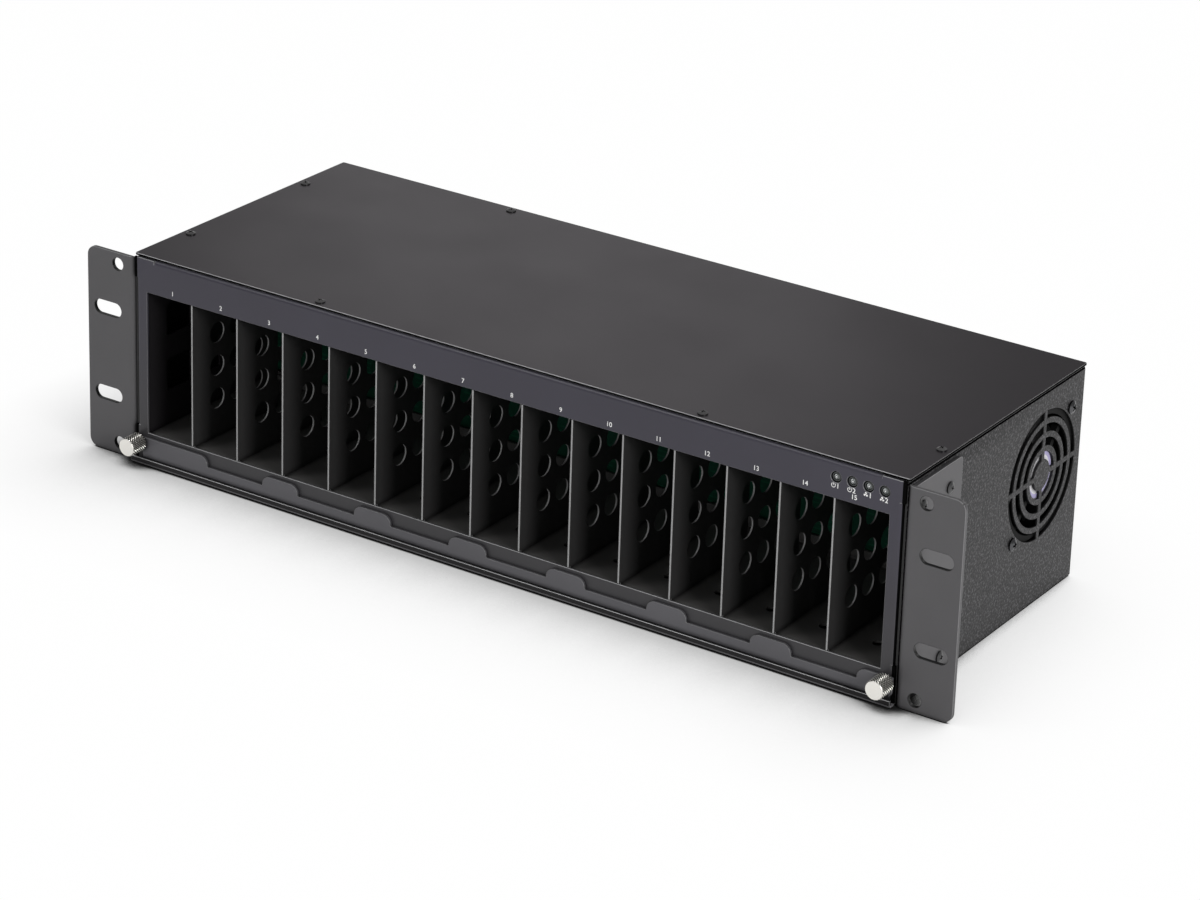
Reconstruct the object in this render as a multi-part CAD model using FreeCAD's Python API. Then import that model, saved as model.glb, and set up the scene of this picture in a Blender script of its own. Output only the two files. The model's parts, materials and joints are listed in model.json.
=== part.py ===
"""Rack chassis for fifteen media converters, in millimetres.

Frame: X to the right seen from the front, Y towards the back, Z up. The origin is on the
underside of the base, on the centre line, below the face of the rack ears that meets the rack.
"""
import FreeCAD
import Part
import math
import os

# Sheet metal
sheet = 1.2
sheet_bend_radius = 0.8
fit_gap = 0.2
cut_past = 1.0

# Bays
bay_count = 15
bay_pitch = 27.3
bay_height = 73.0
bay_floor_level = 15.4
bay_sill = 0.5
bay_depth = 88.0
bay_back_wall = 5.6
bay_side_margin = 7.75
top_strip = 18.1
ceiling_gap = 0.5
ceiling_flange = 11.0
floor_hole_diameter = 5.0
floor_hole_setback = 19.9
divider_thickness = 0.9
divider_front_gap = 0.3
divider_nose_setback = 0.2
divider_depth = 63.1
divider_hole_diameter = 10.4
divider_hole_columns = 3
divider_hole_rows = 3
divider_hole_pitch_y = 14.7
divider_hole_pitch_z = 17.1
tab_length = 9.0
tab_inset = 6.0
tab_clearance = 0.15
cage_window_setback = 13.2
cage_window_rise = 17.6
cage_window_length = 18.0
cage_window_height = 16.6
cage_window_pitch_y = 22.0
cage_window_pitch_z = 28.8
cage_window_columns = 3
cage_window_rows = 2

# Case
wall_lift = 0.3
top_flange_width = 12.0
rear_foot_width = 8.0
base_flange_height = 8.0
cover_overhang = 0.4
cover_side_overhang = 0.6
cover_front_setback = 1.5
cover_corner_radius = 1.0
cover_side_screw_inset = 4.3
cover_side_screw_setback = 35.0
cover_side_screw_pitch = 89.0
cover_edge_screw_span = 211.0
cover_front_screw_setback = 4.3
cover_back_screw_inset = 4.0
cover_screw_head_diameter = 4.8
cover_screw_head_height = 1.3
lip_reach = 3.9
lip_height = 3.8

# Front panel and status lamps
panel_setback = 0.2
panel_side_gap = 0.3
panel_side_bend_low = 19.0
panel_side_bend_drop = 10.3
panel_side_flange_depth = 6.0
panel_top_flange_depth = 13.0
lamp_count = 4
lamp_pitch = 8.05
lamp_edge_inset = 2.9
lamp_rise = 9.9
lamp_hole_diameter = 5.2
lamp_diameter = 4.9
lamp_recess = 0.4
lamp_board_stand = 4.3
lamp_board_height = 8.0
lamp_board_margin = 2.5
lamp_stud_diameter = 2.6

# Rack ears
ear_width = 28.8
ear_thickness = 2.0
ear_lift = 0.3
ear_top_gap = 2.2
ear_corner_radius = 4.8
ear_bend_radius = 1.5
ear_flange_depth = 43.8
ear_flange_drop = 1.8
ear_flange_corner_radius = 2.5
slot_inset = 12.3
slot_spacing_z = 44.45
slot_length = 16.6
slot_width = 7.2
corner_hole_inset_x = 18.8
corner_hole_inset_z = 5.75
corner_hole_diameter = 6.5
ear_screw_setback = 9.7
ear_screw_pitch_y = 23.3
ear_screw_inset_low = 10.1
ear_screw_inset_high = 13.2

# Retaining bar and its thumbscrews
bar_gap = 0.3
bar_thickness = 1.5
bar_end_gap = 0.6
bar_bottom = 3.4
bar_notch_level = 8.8
bar_tab_height = 5.2
bar_tab_width = 21.2
bar_shoulder_radius = 4.6
bar_end_radius = 4.0
bar_edge_radius = 0.5
thumb_level = 11.2
thumb_shank_diameter = 3.0
thumb_slot_clearance = 0.3
thumb_run_clearance = 0.05
thumb_knob_diameter = 9.5
thumb_knob_length = 9.6
thumb_knob_chamfer = 0.5
thumb_shank_tip = 1.0
nut_diameter = 5.0
nut_length = 3.0

# Backplane
spacer_length = 2.0
spacer_diameter = 5.0
board_thickness = 1.6
board_side_gap = 4.5
board_low = 12.0
board_top_gap = 7.8
board_screw_columns = 4
board_screw_inset = 6.0
plug_rise = 36.6
plug_base_diameter = 11.0
plug_base_length = 3.5
plug_barrel_diameter = 5.5
plug_barrel_length = 9.5
plug_bore_diameter = 2.1
header_width = 12.0
header_height = 8.0
header_length = 6.0
fan_header_inset = 22.0

# Fans
fan_size = 60.0
fan_depth = 25.0
fan_hole_inset = 5.0
fan_hole_diameter = 4.3
fan_corner_radius = 3.0
fan_flange = 4.0
fan_wall = 1.5
fan_front_gap = 3.4
fan_back_gap = 6.4
fan_level = 63.8
fan_plate_diameter = 28.0
fan_plate_thickness = 3.0
fan_plate_recess = 0.6
fan_strut_width = 3.0
fan_strut_count = 4
fan_strut_angle = 45.0
fan_strut_bite = 0.5
rotor_hub_diameter = 26.0
rotor_hub_wall = 1.6
rotor_plate_gap = 0.8
rotor_inner_gap = 1.2
blade_count = 7
blade_tip_gap = 0.8
blade_thickness = 1.1
blade_root_pitch = 52.0
blade_tip_pitch = 34.0
blade_root_chord = 13.0
blade_tip_chord = 19.0
blade_camber = 1.6
blade_root_bite = 0.5
shaft_diameter = 3.0
shaft_clearance = 0.05
bearing_diameter = 8.0
bearing_length = 8.0
grille_disc_radius = 7.4
grille_slot = 3.9
grille_ring = 2.8
grille_slot_count = 4
grille_spoke = 2.6
fan_lead_diameter = 2.6
fan_lead_run = 12.0
fan_lead_edge = 2.7
fan_lead_bend_radius = 8.0

# Power supplies and inlets
supply_length = 130.0
supply_depth = 58.0
supply_height = 36.0
supply_centre_x = 96.0
supply_front_gap = 2.0
supply_back_gap = 0.3
supply_edge_radius = 2.0
inlet_centre_x = 96.0
inlet_level = 74.0
inlet_flange_width = 50.0
inlet_flange_height = 24.0
inlet_flange_thickness = 2.6
inlet_flange_radius = 6.0
inlet_body_width = 27.4
inlet_body_height = 19.6
inlet_body_depth = 22.0
inlet_wall = 1.6
inlet_socket_depth = 16.0
inlet_chamfer = 5.0
inlet_screw_span = 40.0
contact_width = 2.0
contact_height = 4.5
contact_recess = 5.5
contact_spacing = 7.0
contact_raise = 2.0

# Screws
screw_diameter = 3.0
screw_head_diameter = 5.4
screw_head_height = 1.5
screw_length = 6.0
screw_rim_share = 0.4
hole_clearance = 0.15
fan_screw_diameter = 4.0
fan_screw_head_diameter = 6.4
fan_screw_head_height = 1.9
fan_screw_length = 9.0

# Widths across the case
half_bays = bay_count * bay_pitch / 2
half_case = half_bays + bay_side_margin
wall_inner = half_case - sheet
half_rack = half_case + ear_width
half_board = half_bays - board_side_gap
flange_edge = half_case - top_flange_width
thumb_x = (half_bays + sheet + wall_inner) / 2
fan_inner = wall_inner - fan_depth
fan_header_x = fan_inner - fan_header_inset
fan_plate_outer = wall_inner - fan_plate_recess
fan_plate_inner = fan_plate_outer - fan_plate_thickness
fan_duct_diameter = fan_size - 2 * fan_wall
fan_hole_spacing = fan_size - 2 * fan_hole_inset

# Levels
opening_low = bay_floor_level + bay_sill
opening_high = opening_low + bay_height
case_height = opening_high + top_strip
cover_under = case_height - sheet
ceiling_under = opening_high + ceiling_gap
ear_low = ear_lift
ear_high = case_height - ear_top_gap
ear_middle = (ear_low + ear_high) / 2
bar_top = bar_notch_level + bar_tab_height
board_high = case_height - board_top_gap
plug_level = bay_floor_level + plug_rise
supply_top = sheet + supply_height
fan_lead_level = fan_level + fan_size / 2 - fan_lead_edge

# Depths from the rack face
ear_front = -ear_thickness
panel_front = ear_front + panel_setback
panel_back = panel_front + sheet
lip_front = panel_front - lip_reach
bar_back = panel_front - bar_gap
bar_front = bar_back - bar_thickness
knob_back = bar_front - bar_gap
bay_front = panel_back + fit_gap
bay_back = bay_front + bay_depth
divider_front = bay_front + divider_front_gap
divider_back = divider_front + divider_depth
divider_nose = panel_front + divider_nose_setback
board_front = bay_back + spacer_length
board_back = board_front + board_thickness
header_face = board_back + header_length
fan_front = board_back + fan_front_gap
fan_y = fan_front + fan_size / 2
fan_room = fan_size + fan_front_gap + fan_back_gap
supply_room = screw_head_height + supply_front_gap + supply_depth + supply_back_gap + rear_foot_width
case_depth = board_back + max(fan_room, supply_room)
supply_back = case_depth - rear_foot_width - supply_back_gap
inlet_face = case_depth + inlet_flange_thickness

# Places that several pieces share
divider_xs = [-half_bays + bay_pitch * (i + 1) for i in range(bay_count - 1)]
bay_xs = [-half_bays + bay_pitch * (i + 0.5) for i in range(bay_count)]
tab_ys = [divider_front + tab_inset, divider_back - tab_inset - tab_length]
lamp_places = [
    (half_bays - lamp_edge_inset - i * lamp_pitch, opening_high + lamp_rise) for i in range(lamp_count)
]
ear_screw_places = [
    (ear_screw_setback + i * ear_screw_pitch_y, z)
    for i in (0, 1)
    for z in (ear_low + ear_screw_inset_low, ear_high - ear_screw_inset_high)
]
fan_hole_places = [
    (fan_y + i * fan_hole_spacing / 2, fan_level + k * fan_hole_spacing / 2) for i in (-1, 1) for k in (-1, 1)
]
fan_screw_places = [fan_hole_places[0], fan_hole_places[-1]]
cover_side_screws = [
    (side * (half_case - cover_side_screw_inset), cover_side_screw_setback + i * cover_side_screw_pitch)
    for side in (-1, 1)
    for i in (0, 1)
]
cover_front_screws = [(side * cover_edge_screw_span / 2, cover_front_screw_setback) for side in (-1, 1)]
cover_back_screws = [(-cover_edge_screw_span / 2, case_depth - cover_back_screw_inset)]
cover_screws = cover_side_screws[:3] + cover_front_screws + cover_back_screws
board_screw_pitch = 2 * (half_board - board_screw_inset) / (board_screw_columns - 1)
board_screw_xs = [-half_board + board_screw_inset + i * board_screw_pitch for i in range(board_screw_columns)]
floor_screw_level = bay_floor_level + bay_back_wall / 2
ceiling_screw_level = ceiling_under + ceiling_flange / 2
inlet_screw_xs = [side * inlet_centre_x + i * inlet_screw_span / 2 for side in (-1, 1) for i in (-1, 1)]
screw_hole = screw_diameter + 2 * hole_clearance
fan_screw_hole = fan_screw_diameter + 2 * hole_clearance
nodes = {}


def vec(x, y, z):
    return FreeCAD.Vector(x, y, z)


def on_axis(axis, level, u, v):
    """Point at level along the axis; u and v are the other two axes in X, Y, Z order."""
    return {"x": vec(level, u, v), "y": vec(u, level, v), "z": vec(u, v, level)}[axis]


def box(low, high):
    size = [b - a for a, b in zip(low, high)]
    return Part.makeBox(size[0], size[1], size[2], vec(*low))


def rod(axis, start, end, u, v, diameter):
    """Cylinder along an axis from start to end."""
    heading = on_axis(axis, math.copysign(1, end - start), 0, 0)
    return Part.makeCylinder(diameter / 2, abs(end - start), on_axis(axis, start, u, v), heading)


def drill(axis, start, end, u, v, diameter):
    """Cutter for a round hole that runs a little past both faces."""
    return rod(axis, start - cut_past, end + cut_past, u, v, diameter)


def outline(points, axis, level):
    """Closed wire through (u, v) or (u, v, radius) points, with round corners where a radius is given."""
    corners = []
    for i, point in enumerate(points):
        here = on_axis(axis, level, point[0], point[1])
        radius = point[2] if len(point) > 2 else 0
        if radius == 0:
            corners.append((here, None, here))
            continue
        to_before = (on_axis(axis, level, *points[i - 1][:2]) - here).normalize()
        to_after = (on_axis(axis, level, *points[(i + 1) % len(points)][:2]) - here).normalize()
        half = to_before.getAngle(to_after) / 2
        reach = radius / math.tan(half)
        crown = here + (to_before + to_after).normalize() * (radius / math.sin(half) - radius)
        corners.append((here + to_before * reach, crown, here + to_after * reach))
    edges = []
    for corner, following in zip(corners, corners[1:] + corners[:1]):
        start, crown, end = corner
        if crown is not None:
            edges.append(Part.Arc(start, crown, end).toShape())
        if not end.isEqual(following[0], 1e-6):
            edges.append(Part.makeLine(end, following[0]))
    return Part.Wire(edges)


def prism(points, axis, start, end):
    """Outline extruded along an axis from start to end."""
    face = Part.Face(outline(points, axis, start))
    return face.extrude(on_axis(axis, end - start, 0, 0))


def punch(points, axis, start, end):
    """Cutter of the given outline that runs a little past both faces."""
    return prism(points, axis, start - cut_past, end + cut_past)


def rectangle(u0, u1, v0, v1, radius=0):
    return [(u0, v0, radius), (u1, v0, radius), (u1, v1, radius), (u0, v1, radius)]


def unit_left(start, end):
    """Unit vector to the left of the way from start to end."""
    u, v = end[0] - start[0], end[1] - start[1]
    length = math.hypot(u, v)
    return (-v / length, u / length)


def bent_sheet(path, thickness=sheet, bend_radius=sheet_bend_radius):
    """Closed outline of a sheet with square bends: one face follows path, the body is on its left."""
    face = []
    back = []
    lefts = [unit_left(a, b) for a, b in zip(path, path[1:])]
    for i, (u, v) in enumerate(path):
        sides = lefts[max(i - 1, 0):i + 1]
        shift = [thickness * sum(side[k] for side in sides) for k in (0, 1)]
        face_radius = back_radius = 0
        if len(sides) == 2:
            turns_left = sides[0][0] * sides[1][1] - sides[0][1] * sides[1][0] > 0
            face_radius = bend_radius + thickness if turns_left else bend_radius
            back_radius = bend_radius if turns_left else bend_radius + thickness
        face.append((u, v, face_radius))
        back.append((u + shift[0], v + shift[1], back_radius))
    return face + back[::-1]


def mirrored(shape):
    return shape.mirror(vec(0, 0, 0), vec(1, 0, 0))


def both_sides(shapes):
    return shapes + [mirrored(shape) for shape in shapes]


def pair(name, right_shape):
    """A right-hand piece and its mirror image."""
    nodes[name + "_right"] = right_shape
    nodes[name + "_left"] = mirrored(right_shape)


def group(name, shapes):
    """Separate solids that share one node."""
    nodes[name] = Part.makeCompound(shapes)


def dome_screw(place, inward, diameter, head_diameter, head_height, length):
    """Screw whose domed head stands on place and whose shank runs inward."""
    radius = head_diameter / 2
    rim = head_height * screw_rim_share
    rise = head_height - rim
    sphere = (radius ** 2 + rise ** 2) / (2 * rise)
    lean = math.asin(radius / sphere) / 2
    middle = vec(sphere * math.sin(lean), 0, head_height - sphere * (1 - math.cos(lean)))
    profile = [(radius, rim), (radius, 0), (diameter / 2, 0), (diameter / 2, -length), (0, -length)]
    points = [vec(r, 0, z) for r, z in profile]
    top = vec(0, 0, head_height)
    edges = [Part.Arc(top, middle, points[0]).toShape()]
    edges += [Part.makeLine(a, b) for a, b in zip(points, points[1:] + [top])]
    screw = Part.Face(Part.Wire(edges)).revolve(vec(0, 0, 0), vec(0, 0, 1), 360)
    screw.Placement = FreeCAD.Placement(place, FreeCAD.Rotation(vec(0, 0, -1), inward))
    return screw


def small_screw(place, inward):
    return dome_screw(place, inward, screw_diameter, screw_head_diameter, screw_head_height, screw_length)


def lead(start, corner, end):
    """Round lead along two straight runs joined by a tangent arc."""
    radius = fan_lead_bend_radius
    to_start = (start - corner).normalize()
    to_end = (end - corner).normalize()
    half = to_start.getAngle(to_end) / 2
    reach = radius / math.tan(half)
    crown = corner + (to_start + to_end).normalize() * (radius / math.sin(half) - radius)
    bend_start = corner + to_start * reach
    bend_end = corner + to_end * reach
    path = Part.Wire([
        Part.makeLine(start, bend_start),
        Part.Arc(bend_start, crown, bend_end).toShape(),
        Part.makeLine(bend_end, end),
    ])
    section = Part.Wire(Part.makeCircle(fan_lead_diameter / 2, start, corner - start))
    return path.makePipeShell([section], True, False)


def base_tray():
    """Bottom with low upturned sides between the walls, and a ledge with a lip in front of the panel."""
    trough = [(-wall_inner, base_flange_height), (-wall_inner, 0), (wall_inner, 0),
              (wall_inner, base_flange_height)]
    bottom = prism(bent_sheet(trough), "y", bay_front, case_depth)
    nose = [(lip_front, lip_height), (lip_front, 0), (bay_front + sheet, 0)]
    ledge = prism(bent_sheet(nose), "x", -half_case, half_case)
    wall_place = box((wall_inner, panel_back, -cut_past), (half_case + cut_past, case_depth, lip_height))
    nodes["base_tray"] = bottom.fuse(ledge.cut(both_sides([wall_place]))).removeSplitter()


def grille_cutter():
    """Round slots of a fan grille with an upright and a level spoke left standing."""
    rings = []
    inner = grille_disc_radius
    for _ in range(grille_slot_count):
        disc = drill("x", wall_inner, half_case, fan_y, fan_level, 2 * (inner + grille_slot))
        rings.append(disc.cut(drill("x", wall_inner, half_case, fan_y, fan_level, 2 * inner)))
        inner += grille_slot + grille_ring
    half = grille_spoke / 2
    upright = rectangle(fan_y - half, fan_y + half, fan_level - inner, fan_level + inner)
    level = rectangle(fan_y - inner, fan_y + inner, fan_level - half, fan_level + half)
    spokes = [punch(bar, "x", wall_inner, half_case) for bar in (upright, level)]
    return Part.makeCompound(rings).cut(spokes)


def side_walls():
    """Side sheet with an in-turned top flange for the cover screws, fan grille and screw holes."""
    path = [(half_case, wall_lift), (half_case, cover_under), (flange_edge, cover_under)]
    wall = prism(bent_sheet(path), "y", panel_back, case_depth)
    cuts = [drill("x", wall_inner, half_case, y, z, screw_hole) for y, z in ear_screw_places]
    cuts += [drill("x", wall_inner, half_case, y, z, fan_screw_hole) for y, z in fan_screw_places]
    cuts += [drill("z", cover_under - sheet, cover_under, x, y, screw_hole) for x, y in cover_side_screws]
    pair("side_wall", wall.cut(cuts + [grille_cutter()]))


def inlet_outline(width, height, chamfer, x):
    """Socket outline with its two lower corners cut off, centred at x on the inlet level."""
    w = width / 2
    h = height / 2
    return [
        (x - w + chamfer, inlet_level - h),
        (x + w - chamfer, inlet_level - h),
        (x + w, inlet_level - h + chamfer),
        (x + w, inlet_level + h),
        (x - w, inlet_level + h),
        (x - w, inlet_level - h + chamfer),
    ]


def rear_panel():
    """Back sheet with flanges to the base and the cover, and the cut-outs of the two inlets."""
    edge = wall_inner - fit_gap
    inside = case_depth - sheet
    path = [
        (case_depth - rear_foot_width, sheet),
        (case_depth, sheet),
        (case_depth, cover_under),
        (case_depth - top_flange_width, cover_under),
    ]
    panel = prism(bent_sheet(path), "x", -edge, edge)
    bend = sheet + sheet_bend_radius + fit_gap
    top_corner = box((flange_edge - fit_gap, case_depth - top_flange_width - cut_past, cover_under - bend),
                     (half_case, case_depth + cut_past, case_height))
    foot_corner = box((wall_inner - bend, case_depth - rear_foot_width - cut_past, 0),
                      (half_case, case_depth + cut_past, base_flange_height + fit_gap))
    cuts = both_sides([top_corner, foot_corner])
    for side in (-1, 1):
        hole = inlet_outline(inlet_body_width + 2 * fit_gap, inlet_body_height + 2 * fit_gap,
                             inlet_chamfer, side * inlet_centre_x)
        cuts.append(punch(hole, "y", inside, case_depth))
    cuts += [drill("y", inside, case_depth, x, inlet_level, screw_hole) for x in inlet_screw_xs]
    cuts += [drill("z", cover_under - sheet, cover_under, x, y, screw_hole) for x, y in cover_back_screws]
    nodes["rear_panel"] = panel.cut(cuts)


def top_cover():
    """Flat cover plate screwed down on the flanges of the walls and panels."""
    front = panel_front + cover_front_setback
    side = half_case + cover_side_overhang
    plate = rectangle(-side, side, front, case_depth + cover_overhang, cover_corner_radius)
    cuts = [drill("z", cover_under, case_height, x, y, screw_hole) for x, y in cover_screws]
    nodes["top_cover"] = prism(plate, "z", cover_under, case_height).cut(cuts)
    group("cover_screws", [
        dome_screw(vec(x, y, case_height), vec(0, 0, -1), screw_diameter, cover_screw_head_diameter,
                   cover_screw_head_height, screw_length)
        for x, y in cover_screws
    ])


def front_panel():
    """Front sheet with one wide opening, bent-back sides and top, and holes for lamps and thumbscrews."""
    bend = sheet + sheet_bend_radius
    edge = half_case - panel_side_gap
    side_low = panel_side_bend_low
    side_high = cover_under - panel_side_bend_drop
    top_edge = flange_edge - fit_gap
    plate = prism(rectangle(-edge, edge, sheet, cover_under), "y", panel_front, panel_back)
    side_strip = box((wall_inner - bend, panel_front - cut_past, side_low),
                     (half_case, panel_back + cut_past, side_high))
    top_strip_box = box((-top_edge, panel_front - cut_past, cover_under - bend),
                        (top_edge, panel_back + cut_past, case_height))
    plate = plate.cut(both_sides([side_strip]) + [top_strip_box])
    side_path = [(wall_inner - bend, panel_front), (wall_inner, panel_front),
                 (wall_inner, panel_back + panel_side_flange_depth)]
    side = prism(bent_sheet(side_path), "z", side_low, side_high)
    top_path = [(panel_front + panel_top_flange_depth, cover_under), (panel_front, cover_under),
                (panel_front, cover_under - bend)]
    top = prism(bent_sheet(top_path), "x", -top_edge, top_edge)
    panel = plate.fuse(both_sides([side]) + [top]).removeSplitter()
    window = rectangle(-half_bays, half_bays, opening_low, opening_high)
    cuts = [punch(window, "y", panel_front, panel_back)]
    cuts += [drill("y", panel_front, panel_back, x, z, lamp_hole_diameter) for x, z in lamp_places]
    shank_hole = thumb_shank_diameter + 2 * thumb_slot_clearance
    cuts += [drill("y", panel_front, panel_back, k * thumb_x, thumb_level, shank_hole) for k in (-1, 1)]
    cuts += [drill("z", cover_under - sheet, cover_under, x, y, screw_hole) for x, y in cover_front_screws]
    nodes["front_panel"] = panel.cut(cuts)


def rack_ears():
    """Angle bracket: a slotted front flange for the rack and a side flange screwed to the wall."""
    path = [(half_case, ear_flange_depth), (half_case, ear_front), (half_rack, ear_front)]
    ear = prism(bent_sheet(path, ear_thickness, ear_bend_radius), "z", ear_low, ear_high)
    r = ear_corner_radius
    front = [(half_case, ear_low), (half_rack, ear_low, r), (half_rack, ear_high, r), (half_case, ear_high)]
    f = ear_flange_corner_radius
    flange_high = ear_high - ear_flange_drop
    side = [(ear_front, ear_low), (ear_flange_depth, ear_low, f), (ear_flange_depth, flange_high, f),
            (0, flange_high), (0, ear_high), (ear_front, ear_high)]
    ear = ear.common(punch(front, "y", ear_front, ear_flange_depth))
    ear = ear.common(punch(side, "x", half_case, half_rack))
    slot_x = half_rack - slot_inset
    slot_ends = [slot_x + k * (slot_length - slot_width) / 2 for k in (-1, 1)]
    cuts = []
    for way in (-1, 1):
        z = ear_middle + way * slot_spacing_z / 2
        middle = rectangle(slot_ends[0], slot_ends[1], z - slot_width / 2, z + slot_width / 2)
        cuts.append(punch(middle, "y", ear_front, 0))
        cuts += [drill("y", ear_front, 0, x, z, slot_width) for x in slot_ends]
    hole_x = half_rack - corner_hole_inset_x
    for z in (ear_low + corner_hole_inset_z, ear_high - corner_hole_inset_z):
        cuts.append(drill("y", ear_front, 0, hole_x, z, corner_hole_diameter))
    outside = half_case + ear_thickness
    cuts += [drill("x", half_case, outside, y, z, screw_hole) for y, z in ear_screw_places]
    pair("rack_ear", ear.cut(cuts))
    group("ear_screws", both_sides(
        [small_screw(vec(outside, y, z), vec(-1, 0, 0)) for y, z in ear_screw_places]))


def bar_outline():
    """Bar seen from the front: a tab on every odd divider, a notch on every even one, rounded ends."""
    end = half_case - bar_end_gap
    half_tab = bar_tab_width / 2
    odd_xs = divider_xs[::2]
    tabs = [(-end, odd_xs[0] + half_tab)]
    tabs += [(x - half_tab, x + half_tab) for x in odd_xs[1:]]
    tabs.append((half_bays - half_tab, end))
    points = [(end, bar_top, bar_edge_radius)]
    for (before, right), (left, after) in zip(tabs[-2::-1], tabs[:0:-1]):
        points += [
            (left, bar_top, bar_shoulder_radius),
            (left, bar_notch_level, bar_edge_radius),
            (right, bar_notch_level, bar_edge_radius),
            (right, bar_top, bar_shoulder_radius),
        ]
    points += [(-end, bar_top, bar_edge_radius), (-end, bar_bottom, bar_end_radius),
               (end, bar_bottom, bar_end_radius)]
    return points


def retaining_bar():
    """Plate that hangs on the two thumbscrews by open slots and lifts in front of the converters."""
    bar = prism(bar_outline(), "y", bar_front, bar_back)
    width = thumb_shank_diameter + 2 * thumb_slot_clearance
    cuts = []
    for x in (-thumb_x, thumb_x):
        way_out = rectangle(x - width / 2, x + width / 2, bar_bottom - cut_past, thumb_level)
        cuts.append(punch(way_out, "y", bar_front, bar_back))
        cuts.append(drill("y", bar_front, bar_back, x, thumb_level, width))
    nodes["retaining_bar"] = bar.cut(cuts)


def thumbscrews():
    """Knurled knob with a shank that turns in a nut pressed into the back of the panel."""
    knob = rod("y", knob_back, knob_back - thumb_knob_length, thumb_x, thumb_level, thumb_knob_diameter)
    rims = [edge for edge in knob.Edges if isinstance(edge.Curve, Part.Circle)]
    knob = knob.makeChamfer(thumb_knob_chamfer, rims)
    nut_end = panel_back + nut_length
    shank = rod("y", knob_back, nut_end + thumb_shank_tip, thumb_x, thumb_level, thumb_shank_diameter)
    pair("thumbscrew", knob.fuse(shank).removeSplitter())
    nut = rod("y", panel_back, nut_end, thumb_x, thumb_level, nut_diameter)
    bore = thumb_shank_diameter + 2 * thumb_run_clearance
    nut = nut.cut(drill("y", panel_back, nut_end, thumb_x, thumb_level, bore))
    group("thumbscrew_nuts", both_sides([nut]))


def tab_slots(low, high):
    """Cutters for the slots that take the divider tabs."""
    half = divider_thickness / 2 + tab_clearance
    length = tab_length + tab_clearance
    return [
        punch(rectangle(x - half, x + half, y - tab_clearance, y + length), "z", low, high)
        for x in divider_xs
        for y in tab_ys
    ]


def bay_floor():
    """Raised shelf under the bays: a front leg down to the base and a low wall up at the back."""
    under = bay_floor_level - sheet
    path = [
        (bay_front + sheet, sheet),
        (bay_front + sheet, under),
        (bay_back, under),
        (bay_back, bay_floor_level + bay_back_wall),
    ]
    floor = prism(bent_sheet(path), "x", -half_bays, half_bays)
    cuts = tab_slots(under, bay_floor_level)
    hole_y = bay_front + floor_hole_setback
    cuts += [drill("z", under, bay_floor_level, x, hole_y, floor_hole_diameter) for x in bay_xs]
    cuts += [drill("y", bay_back - sheet, bay_back, x, floor_screw_level, screw_hole) for x in board_screw_xs]
    nodes["bay_floor"] = floor.cut(cuts)


def bay_ceiling():
    """Plate over the bays with an upturned back flange that holds the top of the backplane."""
    path = [(bay_front, ceiling_under), (bay_back, ceiling_under), (bay_back, ceiling_under + ceiling_flange)]
    ceiling = prism(bent_sheet(path), "x", -half_bays, half_bays)
    cuts = tab_slots(ceiling_under, ceiling_under + sheet)
    z = ceiling_screw_level
    cuts += [drill("y", bay_back - sheet, bay_back, x, z, screw_hole) for x in board_screw_xs]
    nodes["bay_ceiling"] = ceiling.cut(cuts)


def cage_sides():
    """Inner side plate of the end bay, standing on a foot on the base, with rectangular windows."""
    outer = half_bays + sheet
    foot_edge = wall_inner - sheet - sheet_bend_radius - fit_gap
    path = [(half_bays, cover_under - sheet - fit_gap), (half_bays, sheet), (foot_edge, sheet)]
    plate = prism(bent_sheet(path), "y", bay_front, bay_back)
    cuts = []
    for i in range(cage_window_columns):
        for k in range(cage_window_rows):
            y = bay_front + cage_window_setback + i * cage_window_pitch_y
            z = bay_floor_level + cage_window_rise + k * cage_window_pitch_z
            window = rectangle(y, y + cage_window_length, z, z + cage_window_height, sheet_bend_radius)
            cuts.append(punch(window, "x", half_bays, outer))
    pair("cage_side", plate.cut(cuts))


def dividers():
    """Thin perforated sheets, tabbed into floor and ceiling, with a nose in the panel's opening."""
    half = divider_thickness / 2
    middle_y = (divider_front + divider_back) / 2
    middle_z = (bay_floor_level + ceiling_under) / 2
    holes = [
        (middle_y + (i - (divider_hole_columns - 1) / 2) * divider_hole_pitch_y,
         middle_z + (k - (divider_hole_rows - 1) / 2) * divider_hole_pitch_z)
        for i in range(divider_hole_columns)
        for k in range(divider_hole_rows)
    ]
    tab_low = bay_floor_level - sheet
    tab_high = ceiling_under + sheet
    for number, x in enumerate(divider_xs, start=1):
        plate = box((x - half, divider_front, bay_floor_level), (x + half, divider_back, ceiling_under))
        tabs = [box((x - half, y, tab_low), (x + half, y + tab_length, tab_high)) for y in tab_ys]
        nose_low = (x - half, divider_nose, opening_low + fit_gap)
        nose_high = (x + half, divider_front, opening_high - fit_gap)
        tabs.append(box(nose_low, nose_high))
        cuts = [drill("x", x - half, x + half, y, z, divider_hole_diameter) for y, z in holes]
        nodes[f"divider_{number:02d}"] = plate.fuse(tabs).removeSplitter().cut(cuts)


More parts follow.
